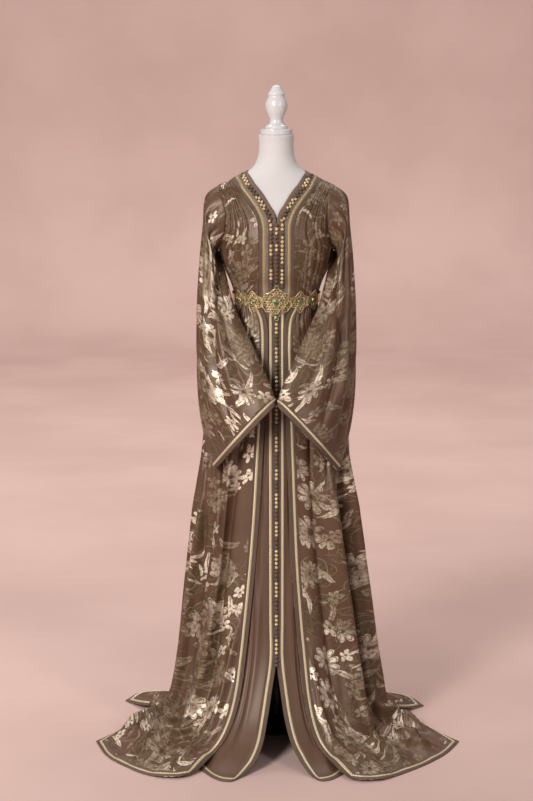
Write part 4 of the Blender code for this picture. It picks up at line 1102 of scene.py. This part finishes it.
ROBE_BACK_CREASES = creases([
    (28, 3, 34, 22, 4, 8, -4), (50, 5, 50, 23, 2, 8, -3.5), (72, 3, 66, 22, -4, 8, -4),
    (30, 26, 24, 60, 6, 11, -12), (42, 26, 38, 66, 6, 11, -13), (55, 26, 56, 62, -6, 11, -12),
    (68, 26, 72, 66, -6, 11, -13), (18, 30, 14, 88, 8, 15, 14), (34, 40, 30, 93, 8, 16, 16),
    (49, 38, 47, 94, 8, 15, 15), (63, 40, 66, 93, -8, 16, 16), (82, 32, 86, 88, -8, 15, 14),
    (41, 52, 38, 92, -6, 10, -13), (57, 50, 58, 92, 6, 10, -14), (25, 50, 22, 92, 6, 11, -12),
    (74, 52, 77, 92, -6, 11, -12), (16, 86, 5, 96, 10, 11, 15), (84, 86, 95, 96, -10, 11, 15),
    (40, 90, 37, 97.5, 6, 12, 12), (60, 90, 64, 97.5, 6, 12, 12), (0.5, 99.5, 20, 99, 0, 26, 12),
    (99.5, 99.5, 80, 99, 0, 26, 12),
])
UNDERSKIRT_CREASES = creases([
    (50, 3, 52, 55, 3, 4.5, -3.4), (62, 10, 58, 80, 4, 6, 2.4), (74, 20, 72, 90, 4, 6, -4),
    (45, 55, 47, 93, 4, 8, 2.6), (40, 4, 38, 40, 2, 3.5, -2.6), (66, 55, 62, 94, -3, 5, -4),
])
SLEEVE_CREASES = creases([
    (4, 2, 16, 42, 6, 8, -8), (15, 1, 26, 36, 6, 7.5, -8.5), (28, 2, 36, 30, 4, 7, -8),
    (43, 4, 33, 44, 8, 10, -20), (49, 5, 44, 42, 4, 8, -14), (2, 6, 3, 60, 4, 7, -7),
    (46, 12, 22, 62, 14, 11, -10), (10, 10, 10, 70, 4, 11, 7), (22, 22, 20, 86, 6, 14, 9),
    (33, 30, 34, 92, 6, 14, 9), (27, 45, 27, 94, 4, 9.5, -8), (40, 36, 42, 92, -4, 10, -6),
    (15, 50, 14, 94, 4, 9.5, -7), (5, 40, 5, 92, 4, 8, -6), (62, 5, 70, 60, 6, 11, -8),
    (75, 4, 80, 70, 6, 12, -8), (86, 10, 86, 85, 6, 12, 7), (70, 40, 70, 94, 6, 12, 7),
    (60, 55, 58, 94, 4, 10, -6), (80, 60, 79, 94, 4, 10, -6),
])

# Stripes of a braid from its open edge inward: width, cords, rise of each cord
EDGE_STRIPES = [(0.0112, 4, 0.0012), (0.0064, 1, 0.0020), (0.0066, 3, 0.0010)]
BAND_STRIPES = [(0.0085, 1, 0.0004), (0.0105, 1, 0.0000), (0.0080, 3, 0.0011), (0.0075, 1, 0.0020),
                (0.0095, 4, 0.0011)]
TRIM_GOLD = (0.0112, 0.0176)
BAND_GOLD = (0.0270, 0.0345)
BAND_PALE = (0.0190, 0.0270)
BAND_EDGE = 0.0085


def stripe_heights(stripes, across):
    """The braid's height at places across it: half waves, one to a cord."""
    height = np.zeros_like(across)
    start = 0.0
    for width, cords, rise in stripes:
        part = (across - start) / width
        inside = (part >= 0) & (part <= 1)
        height += np.where(inside, rise * np.abs(np.sin(math.pi * cords * part)) ** 0.7, 0.0)
        start += width
    return height


def edge_places(stripes, per_cord=5):
    """Places across a braid, close enough to round each cord."""
    places = [0.0]
    for width, cords, _ in stripes:
        count = max(2, cords * per_cord if cords > 1 else 7)
        places += list(places[-1] + width * np.arange(1, count + 1) / count)
    return np.array(places)


def edge_route(cloth, front_from, side_from=None):
    """Rows and columns of a braid down one edge, along the hem and, if asked, up the other.

    Each line of the braid keeps its own distance from the edge and turns at the corner's
    mitre. Returns the coarse places of every point, one row of points to a step along.
    """
    last_row, last_column = cloth.rho[-1], cloth.kappa[-1]
    inward = edge_places(EDGE_STRIPES)
    hem_row = last_row - inward / TRIM_WIDTH

    def edge_column(rho, near):
        """Columns that keep the braid's width from the near or the far edge."""
        outer, inner = (0.0, 1.0) if near else (last_column, last_column - 1.0)
        outer, inner = (cloth.at(rho, 0 * rho + column)[0] for column in (outer, inner))
        width = np.linalg.norm(inner - outer, axis=-1)
        column = inward / np.maximum(width, NARROWEST_COLUMN)
        return column if near else last_column - column

    def steps(length):
        return np.linspace(0, 1, max(2, int(length / BRAID_STEP)))[:, None]

    def edge_length(first_row, column):
        """Metres down one edge from a row to the hem."""
        first, last = np.interp([first_row, last_row], cloth.rho, cloth.along[:, column])
        return last - first

    part = steps(edge_length(front_from, 0))
    even = along_evenly(cloth, part, front_from, last_row, 0)
    rho = front_from + (hem_row - front_from) * even
    runs = [(rho, edge_column(rho, True))]
    start = edge_column(hem_row[None], True)
    end = last_column if side_from is None else edge_column(hem_row[None], False)
    part = steps(cloth.across[-1, -1])[1:]
    even = np.interp(part, cloth.across[-1] / cloth.across[-1, -1], cloth.kappa) / last_column
    runs.append((hem_row + 0 * part, start + (end - start) * even))
    if side_from is not None:
        part = steps(edge_length(side_from, -1))[1:]
        even = along_evenly(cloth, 1 - part, side_from, last_row, -1)
        rho = hem_row + (side_from - hem_row) * (1 - even)
        runs.append((rho, edge_column(rho, False)))
    rho, kappa = (np.concatenate(lines) for lines in zip(*runs))
    return rho, kappa, inward


def along_evenly(cloth, part, first, last, column):
    """Shares between two coarse rows that are even in metres along one edge."""
    rho = np.linspace(first, last, 200)
    metres = np.interp(rho, cloth.rho, cloth.along[:, column])
    places = metres[0] + (metres[-1] - metres[0]) * part
    return (np.interp(places, metres, rho) - first) / (last - first)


def braid_on(cloth, route, stripes, lift):
    """A braid's points over a cloth: its cords stand out along the cloth's normals."""
    rho, kappa, inward = route
    points, normals = cloth.at(rho, kappa)
    height = lift + stripe_heights(stripes, inward)
    height[0] = height[-1] = lift - 0.0004
    points = points + normals * height[:, None]
    along = run_lengths(points[:, 0])
    places = np.stack(np.broadcast_arrays(inward[None], along[:, None]), axis=-1)
    return points, places


def cloth_places(cloth, mirrored=False, start=(0.0, 0.0)):
    """Places in metres across and along the cloth, for its weave and pattern."""
    across = -cloth.across if mirrored else cloth.across
    return np.stack([across + start[0], -cloth.along + start[1]], axis=-1)


def gathers(cloth, count, top, reach, depth, phase):
    """Fine pleats of nearly even pitch, deepest at one height and gone a reach from it."""
    across, _ = cloth.shares()
    height = cloth.points[..., 2]
    fade = np.clip(1 - np.abs(height - top) / reach, 0, 1) ** 1.5
    drift = 0.35 * np.sin(9 * across + phase) + 0.2 * np.sin(23 * across + 2 * phase)
    wave = np.abs(np.sin(math.pi * (count * across + drift))) ** 0.8
    window = np.clip(across / 0.05, 0, 1) * np.clip((1 - across) / 0.05, 0, 1)
    cloth.push(depth * fade * (wave - 0.6) * window)


RING_COUNT = ARMHOLE_STEPS + 1 + len(SKIRT_RINGS)
WAIST_ROW = ARMHOLE_STEPS + 1 + SKIRT_RINGS.index(WAIST_HEIGHT)
SIDES = ((LEFT, "left"), (RIGHT, "right"))


def make_panel(cloth, places, route, names, finishes, slot, rests_on):
    """A panel's shell and the braid along its edges, which hangs with it."""
    shell_name, shell_node, braid_name, braid_node = names
    satin, trim_finish = finishes
    shell = Piece().add(cloth.points, places, cloth.sign, cloth.wrap)
    shell = shell.make(shell_name, satin, slot, [shell_node], WALL)
    edging = Piece().add(*braid_on(cloth, route, EDGE_STRIPES, BRAID_LIFT), cloth.sign)
    edging = edging.make(braid_name, trim_finish, "braid", [braid_node])


def panel_names(shell, family, word):
    """The names of a panel's shell and braid, and of the solids that they replace."""
    return shell + "_satin", shell, family + "_braid_" + word, family + "_trim_" + word


def make_robe(finishes):
    """Both fronts and the back, each with the braid that edges it."""
    for side, word in SIDES:
        front = Cloth(robe_front_rows(side), -side, *FRONT_GRID)
        front.crease(ROBE_FRONT_CREASES[side])
        gathers(front, count=13, top=YOKE_HEIGHT, reach=0.150, depth=0.0040, phase=side)
        gathers(front, count=15, top=WAIST_HEIGHT, reach=0.170, depth=0.0042, phase=1.4 * side)
        make_panel(front, cloth_places(front, side == LEFT, (0.3 * side, 0.0)),
                   edge_route(front, WAIST_ROW, RING_COUNT),
                   panel_names("robe_front_" + word, "robe", word), finishes,
                   "patterned_satin", "form_torso")
    back = Cloth(robe_back_rows(), -1, *BACK_GRID)
    back.crease(ROBE_BACK_CREASES)
    gathers(back, count=30, top=WAIST_HEIGHT, reach=0.170, depth=0.0040, phase=0.7)
    make_panel(back, cloth_places(back, start=(0.9, 0.4)), edge_route(back, RING_COUNT, RING_COUNT),
               panel_names("robe_back", "robe", "back"), finishes,
               "patterned_satin", "form_torso")


def make_sleeves(finishes):
    """Both bell sleeves, creased from the armhole and falling plain to the cuff."""
    for side, word in SIDES:
        sleeve = Cloth(sleeve_rings(side), side, *SLEEVE_GRID, wrap=True)
        sleeve.crease(SLEEVE_CREASES)
        inward = edge_places(EDGE_STRIPES)
        kappa = np.linspace(0, sleeve.kappa[-1], 170)[:, None] + 0 * inward
        rho = sleeve.rho[-1] - inward / TRIM_WIDTH + 0 * kappa
        make_panel(sleeve, cloth_places(sleeve, side == RIGHT, (0.2 * side, 1.0)),
                   (rho, kappa, inward), panel_names("sleeve_" + word, "cuff", word), finishes,
                   "patterned_satin", "robe_front_" + word + "_satin")


def make_underskirt(finishes):
    """The two plain inner fronts with the braid down the opening and round the hem."""
    for side, word in SIDES:
        front = Cloth(underskirt_rows(side), -side, *UNDERSKIRT_GRID)
        front.crease(UNDERSKIRT_CREASES)
        names = panel_names("underskirt_" + word, "underskirt", word)
        names = names[:1] + ("underskirt_front_" + word,) + names[2:]
        make_panel(front, cloth_places(front, side == LEFT), edge_route(front, 0), names, finishes,
                   "plain_satin", "form_torso")


def make_band(finish):
    """The braid band round the neck and down both sides of the front opening."""
    band = Cloth(neck_band_rows(), 1, *BAND_GRID)
    inward = edge_places(BAND_STRIPES)
    rho = np.linspace(0, band.rho[-1], 460)[:, None] + 0 * inward
    kappa = inward / inward[-1] * band.kappa[-1] + 0 * rho
    piece = Piece().add(*braid_on(band, (rho, kappa, inward), BAND_STRIPES, WALL))
    made = piece.make("neck_band_braid", finish, "braid", ["neck_band"], wall=0.0012, offset=-1.0)
    return band


def knot(rings=9, sides=14):
    """A round knot, from pole to pole with four soft lobes, and the places of its winding."""
    tilt = np.linspace(0.12, math.pi - 0.12, rings)[:, None]
    turn = full_turn(sides)
    bulge = 1 + 0.05 * np.cos(4 * turn) * np.sin(tilt)
    shape = np.stack([np.sin(tilt) * np.cos(turn) * bulge, np.sin(tilt) * np.sin(turn) * bulge,
                      np.cos(tilt) + 0 * turn], axis=-1)
    around, along = np.meshgrid(np.linspace(0, 1, sides + 1), np.linspace(0, 1, rings))
    return shape, np.stack([around, along], axis=-1)


def even_path(path, pitch):
    """Places at an even pitch along a path."""
    along = run_lengths(path)
    count = int(along[-1] / pitch)
    stops = (np.arange(count) + 0.5) * along[-1] / count
    return np.stack([np.interp(stops, along, path[:, axis]) for axis in range(3)], axis=1)


def button_tones(count, groups):
    """Brown, 0, and gold, 1, in turn, in groups of the given sizes from the lowest up."""
    sizes = groups * (1 + count // sum(groups))
    tones = np.concatenate([np.full(size, index % 2) for index, size in enumerate(sizes)])
    return tones[:count].astype(float)


def make_buttons(name, path, finish, groups):
    """A row of knot buttons; up the V smaller knots lie close, to either side in turn."""
    low = path[:, 2] <= SMALL_KNOTS_ABOVE
    places = even_path(path[low], BEAD_PITCH)
    if not low.all():
        places = np.concatenate([places, even_path(path[~low], SMALL_KNOT_PITCH)])
    places = places[np.argsort(places[:, 2])]
    tones = button_tones(len(places), groups)
    single = places[:, 2] <= SMALL_KNOTS_ABOVE
    shape, spots = knot()
    size = BEAD_RADIUS * np.array([1.0, 0.95, 1.08])
    piece = Piece()
    piece.add(places[single][:, None, None] + shape * size, spots, -1, True, tones[single])
    if not single.all():
        run = unit(np.gradient(places, axis=0)[~single])
        aside = unit(np.cross(run, np.array([0.0, -1.0, 0.15])))
        turn = np.where(np.arange(len(run)) % 2, 1, -1)[:, None]
        middle = (places[~single] + SMALL_KNOT_SHIFT * turn * aside)[:, None, None]
        piece.add(middle + shape * SMALL_KNOT_RADIUS, spots, -1, True, tones[~single])
    piece.make(name + "_knots", finish, "button_thread", [name])


def band_paths(band, out):
    """Paths up the right and the left of the band, moved out from it."""
    count = len(NECK_BAND["outer_x"]) - 1
    rows = np.linspace(1, count - 1, 120)
    across = np.interp(rows, BUTTON_SHARE["row"], BUTTON_SHARE["share"]) * band.kappa[-1]
    for rho in (rows, band.rho[-1] - rows):
        points, normals = band.at(rho, across)
        yield points + normals * out


def make_all_buttons(band, finish):
    """The three rows above the belt and the one below it; the groups go brown, gold in turn."""
    out = BAND_WALL + LAYER_GAP + BEAD_RADIUS
    right, left = band_paths(band, out)
    make_buttons("buttons_right", right, finish, [1, 4, 1, 7, 1, 4, 4, 6, 6, 6, 4, 12])
    make_buttons("buttons_left", left, finish, [2, 3, 3, 3, 3, 3, 5, 7, 6, 7, 6, 9])
    height = np.linspace(CENTRE_BUTTON_TOP, CENTRE_BUTTON_END, 40)
    make_buttons("buttons_centre", body_point(0.0, height, out), finish, [8, 2, 2, 2])
    front = Cloth(underskirt_rows(LEFT), 1, *UNDERSKIRT_GRID)
    edge, normals = front.at(front.rho, 0 * front.rho)
    edge = edge + normals * (WALL + TRIM_WALL + 2 * LAYER_GAP + BEAD_RADIUS)
    height = np.linspace(SKIRT_BUTTON_TOP, SLIT_TOP, 80)
    forward = np.interp(height, edge[::-1, 2], edge[::-1, 1])
    make_buttons("buttons_skirt", np.stack([0 * height, forward, height], axis=1), finish,
                 [3, 4, 3, 3, 4, 4, 3, 5, 3, 4])


def belt_angle(along):
    """The angle round the waist of a place along the belt from the front centre."""
    angle = np.linspace(0, math.pi, 361)
    length = run_lengths(body_point(angle, WAIST_HEIGHT, BELT_OUT))
    return np.sign(along) * np.interp(np.abs(along), length, angle)


def belt_height(up, angle):
    """A height on the belt, which droops a little at the front."""
    return WAIST_HEIGHT + up + BELT_DROOP * (1 - np.cos(angle)) / 2


def belt_point(along, up, out):
    """A point of the belt, by metres along it, up it and out from it."""
    angle = belt_angle(along)
    return body_point(angle, belt_height(up, angle), BELT_OUT + out)


def ring_curve(reach, height=None):
    """A closed flat curve at the given distances round, or an oval of two half sizes."""
    count = CURVE_STEPS if np.ndim(reach) == 0 else len(reach)
    turn = full_turn(count)
    height = reach if height is None else height
    return np.stack([reach * np.cos(turn), height * np.sin(turn)], axis=1)


def outline_curve(corners, count):
    """A closed outline through its corners, evenly stepped."""
    corners = np.array(corners + corners[:1])
    along = run_lengths(corners)
    stops = np.arange(count) * along[-1] / count
    return np.stack([np.interp(stops, along, corners[:, axis]) for axis in range(2)], axis=1)


def add_wire(piece, middle, curve, wire, out, sides=6):
    """Adds a closed wire lying on the belt: circles round a flat curve, bent round the waist."""
    following = np.roll(curve, -1, axis=0) - np.roll(curve, 1, axis=0)
    normal = unit(np.stack([following[:, 1], -following[:, 0]], axis=1))
    turn = full_turn(sides)
    flat = curve[:, None] + normal[:, None] * (wire * np.cos(turn))[:, None] + np.array(middle)
    rise = out + wire + wire * np.sin(turn)
    grid = belt_point(flat[..., 0], flat[..., 1], rise)
    piece.add(np.concatenate([grid, grid[:1]]), wrap=True)


def add_domes(piece, centres, radius, out, flatten):
    """Adds small domes on the belt: half spheres pressed flat."""
    tilt = np.linspace(0.02, math.pi / 2, 5)[:, None]
    turn = full_turn(10)
    for along, up in centres:
        grid = belt_point(along + radius * np.sin(tilt) * np.cos(turn),
                          up + radius * np.sin(tilt) * np.sin(turn),
                          out + radius * flatten * np.cos(tilt))
        piece.add(grid, sign=-1, wrap=True)


CURVE_STEPS = 24
# The top right quarter of a plate's outline, as shares of half its length and half its height
STEPPED_PLATE = [(1.00, 0.36), (0.86, 0.46), (0.80, 0.60), (0.56, 0.66), (0.44, 0.72), (0.30, 0.86),
                 (0.0, 1.0)]
PLAIN_PLATE = [(1.00, 0.42), (0.88, 0.45), (0.70, 0.48), (0.58, 0.50), (0.30, 0.80), (0.0, 1.0)]


def plate_corners(half_length, half_height, quarter):
    """A plate's outline: one quarter of it, mirrored to the left and then down."""
    right = [(x * half_length, z * half_height) for x, z in quarter]
    top = right + [(-x, z) for x, z in right[-2::-1]]
    return top + [(x, -z) for x, z in top[::-1]]


def outline_reach(corners, x, z):
    """How far out of the outline a place lies: 0 at the middle, 1 on the rim."""
    rim = outline_curve(corners, 180)
    turned = np.arctan2(rim[:, 1], rim[:, 0]) - math.atan2(z, x)
    nearest = np.argmin(np.abs(np.angle(np.exp(1j * turned))))
    return math.hypot(x, z) / math.hypot(*rim[nearest])


def make_plate(name, middle, half_length, half_height, quarter, finish, nodes, pitch, dome):
    """One openwork plate: rim wires, a lattice of ringlets, granules and a raised middle."""
    piece = Piece()
    corners = plate_corners(half_length - 0.0012, half_height - 0.0012, quarter)
    rim = outline_curve(corners, 120)
    add_wire(piece, (middle, 0.0), rim, RIM_WIRE, 0.0)
    add_wire(piece, (middle, 0.0), rim * 0.60, 0.0006, 0.0006)
    ringlet = ring_curve(pitch * 0.41 * (1 + 0.10 * np.cos(6 * (full_turn(18) - 0.5))))
    for row in range(-8, 9):
        for column in range(-8, 9):
            x = (column + 0.5 * (row % 2)) * pitch
            z = row * pitch * 0.866
            reach = outline_reach(corners, x, z)
            if reach > 0.93 or math.hypot(x, z) < dome + 0.35 * pitch:
                continue
            rise = 0.0004 + 0.0016 * (1 - reach)
            add_wire(piece, (middle + x, z), ringlet, RINGLET_WIRE, rise, 5)
            granule = z + pitch * 0.577
            if outline_reach(corners, x, granule) < 0.97:
                add_domes(piece, [(middle + x, granule)], pitch * 0.13, rise, 0.6)
    rim_beads = outline_curve([(x * 1.02, z * 1.02) for x, z in corners], 44)
    add_domes(piece, rim_beads + np.array([middle, 0.0]), 0.0011, 0.0006, 0.9)
    part = np.linspace(0.0, 1.0, 9)[:, None]
    turn = full_turn(36)
    petals = np.cos(8 * turn)
    reach = dome * part * (1 + 0.10 * petals * part)
    rise = 0.42 * dome * (1 - part ** 2) + 0.0005 * petals * np.sin(math.pi * part) + 0.0008
    grid = belt_point(middle + reach * np.cos(turn), reach * np.sin(turn), rise)
    piece.add(grid, sign=-1, wrap=True)
    beads = ring_curve(np.full(16, dome * 1.12)) + np.array([middle, 0.0])
    add_domes(piece, beads, dome * 0.12, 0.0010, 0.9)
    piece.make(name, finish, "gilt", nodes)


def make_stone(name, along, up, half_width, half_height, out, finishes, nodes):
    """A cut stone: a low dome with facets, and the beaded rim that holds it."""
    metal, stone = finishes
    tilt = np.linspace(0.02, math.pi / 2, 7)[:, None]
    turn = full_turn(16)
    wide = np.sin(tilt) ** 0.8
    grid = belt_point(along + half_width * wide * np.cos(turn),
                      up + half_height * wide * np.sin(turn),
                      out + 0.55 * half_width * np.cos(tilt))
    Piece().add(grid, sign=-1, wrap=True).make(name, stone, "green_stone", nodes)
    holder = Piece()
    curve = ring_curve(half_width + 0.0004, half_height + 0.0004)
    add_wire(holder, (along, up), curve, 0.0006, out - 0.0008)
    add_domes(holder, curve[::2] * 1.22 + np.array([along, up]), 0.00075, out - 0.0006, 0.9)
    holder.make(name + "_rim", metal, "gilt", [])


# The other stones on the belt: place along and up it, half width and height, how far out
STONES = [
    ("centre", 0.0, 0.0, 0.0066, 0.0076, 0.0044, ["belt_stone_centre"]),
    ("top", 0.0, 0.0405, 0.0040, 0.0044, 0.0022, ["belt_stone_top"]),
    ("bottom", 0.0, -0.0405, 0.0040, 0.0048, 0.0022, ["belt_stone_bottom"]),
    ("small_0", 0.0, 0.0255, 0.0024, 0.0026, 0.0034, []),
    ("small_1", 0.0, -0.0245, 0.0024, 0.0026, 0.0034, []),
    ("small_2", 0.0225, 0.0, 0.0024, 0.0026, 0.0034, []),
    ("small_3", -0.0225, 0.0, 0.0024, 0.0026, 0.0034, []),
]
CENTRE_PLATE_HALF_LENGTH = 0.0365
# The side plates from the middle out: half length and height, the stone's half width and height
SIDE_PLATES = [("", 0.0225, 0.0300, 0.0050, 0.0052), ("outer_", 0.0220, 0.0270, 0.0036, 0.0040)]


def make_belt(finishes):
    """Five openwork plates, hinge bars, stones and the strap round the back."""
    metal = finishes[0]
    edge = CENTRE_PLATE_HALF_LENGTH
    make_plate("plate_centre", 0.0, edge, 0.0385, STEPPED_PLATE, metal, ["belt_medallion_centre"],
               pitch=0.0078, dome=0.0100)
    for prefix, half_length, half_height, stone_width, stone_height in SIDE_PLATES:
        hinge = edge + SEAM_GAP + BELT_PIN
        middle = hinge + BELT_PIN + SEAM_GAP + half_length
        for side, word in SIDES:
            word = prefix + word
            make_plate("plate_" + word, side * middle, half_length, half_height, PLAIN_PLATE, metal,
                       ["belt_medallion_" + word], pitch=0.0070, dome=0.0062)
            bars = Piece()
            height = np.linspace(-BELT_STRAP_HEIGHT / 2, BELT_STRAP_HEIGHT / 2, 25)[:, None]
            girth = 0.0009 + 0.0003 * np.abs(np.sin(height * 900))
            turn = full_turn(10)
            for shift in (-0.0011, 0.0011):
                grid = belt_point(side * hinge + shift + girth * np.cos(turn), height,
                                  BELT_PIN + girth * np.sin(turn))
                bars.add(grid, wrap=True)
            bars.make("hinge_bars_" + word, metal, "gilt", ["belt_hinge_" + word])
            make_stone("stone_" + word, side * middle, 0.0, stone_width, stone_height, 0.0022,
                       finishes, [] if prefix else ["belt_stone_" + word])
        edge = middle + half_length
    for name, along, up, half_width, half_height, out, nodes in STONES:
        make_stone("stone_" + name, along, up, half_width, half_height, out, finishes, nodes)
    start = float(belt_angle(edge + SEAM_GAP))
    angle = np.linspace(start, 2 * math.pi - start, 181)
    up = np.linspace(1, -1, 13)[:, None] * BELT_STRAP_HEIGHT / 2
    ribs = 0.0004 * np.abs(np.cos(up * 800)) + 0.0001 * np.cos(angle * 120)
    grid = body_point(angle, belt_height(up, angle), BELT_OUT + BELT_PIN + ribs)
    strap = Piece().add(grid, sign=-1)
    strap.make("belt_strap_back", metal, "gilt", ["belt_back"], wall=0.0014, offset=-1.0)


def make_form(jersey, gloss, painted):
    """The bust, its neck cap and the turned finial, round and smooth; pole and base keep theirs."""
    stops = np.concatenate([np.linspace(NECK_TOP, 1.50, 24), np.linspace(1.4975, 1.44, 24),
                            np.linspace(1.43, 0.80, 60)])[:, None]
    turn = full_turn(96)
    wide = smooth(TORSO, "half_width", stops)
    deep = depth(TORSO, np.cos(turn) > 0, stops)
    rings = np.stack([wide * np.sin(turn), -deep * np.cos(turn), stops + 0 * turn], axis=-1)
    top, low = (end + 0.99 * (end.mean(axis=1, keepdims=True) - end)
                for end in (rings[:1], rings[-1:]))
    bust = Piece().add(np.concatenate([top, rings, low]), sign=-1, wrap=True)
    bust.make("bust", jersey, "form_cloth", ["form_torso"])
    for name, profile in (("neck_cap", CAP), ("finial", FINIAL)):
        knots = np.arange(len(profile["radius"]))
        fine = np.linspace(0, knots[-1], 12 * len(knots))[:, None]
        radius = np.maximum(through(knots, profile["radius"], fine, tight=True), 0.00005)
        height = through(knots, profile["height"], fine, tight=True)
        turn = full_turn(72)
        rings = np.stack([radius * np.cos(turn), radius * np.sin(turn), height + 0 * turn], axis=-1)
        Piece().add(rings, wrap=True).make(name, gloss, "form_gloss", ["form_" + name])
    for node in ("stand_pole", "stand_base"):
        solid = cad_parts[node]
        solid.data.materials.clear()
        solid.data.materials.append(painted)


# The studio's floor runs back, bends up and becomes its wall
FLOOR_FRONT = -16.0
FLOOR_BACK = 6.8
SWEEP_LENGTH = 30.0
SWEEP_BEND = 1.4


def make_studio():
    """Paper floor and backdrop in one sweep, soft lights and the camera."""
    run = FLOOR_FRONT + SWEEP_LENGTH * np.linspace(0, 1, 130)[:, None]
    turn = np.clip((run - FLOOR_BACK) / SWEEP_BEND, 0, math.pi / 2)
    rise = np.maximum(run - FLOOR_BACK - SWEEP_BEND * math.pi / 2, 0)
    y = np.minimum(run, FLOOR_BACK) + SWEEP_BEND * np.sin(turn)
    z = SWEEP_BEND * (1 - np.cos(turn)) + rise
    x = np.linspace(FLOOR_FRONT, -FLOOR_FRONT, 40)[None]
    sweep = np.stack([x + 0 * y, y + 0 * x, z + 0 * x], axis=-1)
    mesh = bpy.data.meshes.new("studio_sweep")
    rows, columns = sweep.shape[:2]
    faces = quads(rows - 1, columns - 1, columns)
    mesh.from_pydata(sweep.reshape(-1, 3).tolist(), [], faces.tolist())
    mesh.shade_smooth()
    mesh.materials.append(paper("studio paper", (0.470, 0.332, 0.300), (0.535, 0.384, 0.350)))
    floor = bpy.data.objects.new("studio_sweep", mesh)
    bpy.context.scene.collection.objects.link(floor)
    floor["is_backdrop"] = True

    def soft_light(name, place, aim, size, power, colour):
        """A rectangle of light at a place, turned to its aim."""
        data = bpy.data.lights.new(name, "AREA")
        data.shape = "RECTANGLE"
        data.size, data.size_y = size
        data.energy = power
        data.color = colour
        light = bpy.data.objects.new(name, data)
        light.location = place
        toward = np.array(aim) - np.array(place)
        yaw = math.atan2(toward[0], -toward[1])
        pitch = math.acos(-toward[2] / np.linalg.norm(toward))
        light.rotation_euler = (pitch, 0.0, -yaw + math.pi)
        bpy.context.scene.collection.objects.link(light)

    soft_light("key light", (-2.4, -3.7, 3.1), (0.0, 0.0, 1.0), (2.0, 2.4), 440.0,
               (1.0, 0.97, 0.93))
    soft_light("fill light", (2.8, -3.4, 2.6), (0.3, 0.0, 0.5), (1.8, 2.2), 140.0,
               (1.0, 0.95, 0.91))
    soft_light("backdrop light", (0.0, 3.0, 6.2), (0.0, 6.8, 0.4), (7.0, 4.0), 470.0,
               (1.0, 0.95, 0.92))
    world = bpy.data.worlds.new("studio world")
    world.use_nodes = True
    background = world.node_tree.nodes["Background"]
    background.inputs["Color"].default_value = (1.0, 0.92, 0.89, 1.0)
    background.inputs["Strength"].default_value = 0.31
    bpy.context.scene.world = world
    bpy.context.scene.view_settings.view_transform = "Standard"

    lens = bpy.data.cameras.new("camera")
    lens.sensor_fit = "VERTICAL"
    lens.sensor_height = 36.0
    lens.lens = 76.94
    camera = bpy.data.objects.new("camera", lens)
    camera.location = (-0.0258, -4.5, 1.70)
    camera.rotation_euler = (math.radians(90 - 10.2), 0.0, 0.0)
    bpy.context.scene.collection.objects.link(camera)
    bpy.context.scene.camera = camera


make_studio()
make_form(white_jersey(),
          gloss_paint("gloss white paint", (0.53, 0.52, 0.525), (0.60, 0.59, 0.595), 0.16),
          gloss_paint("stand paint", (0.030, 0.028, 0.027), (0.050, 0.047, 0.045), 0.34))
patterned = patterned_satin()
edge_braid = braid("edge braid", TRIM_GOLD)
make_robe((patterned, edge_braid))
make_sleeves((patterned, edge_braid))
make_underskirt((plain_satin(), edge_braid))
neck_band = make_band(braid("neck braid", BAND_GOLD, BAND_PALE, BAND_EDGE))
make_all_buttons(neck_band, button_thread())
make_belt((gilt(), green_stone()))

boxes = {"solids": SOLIDS_BOX, "visual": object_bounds()}
boxes = {key: [[float(x) for x in corner] for corner in box] for key, box in boxes.items()}
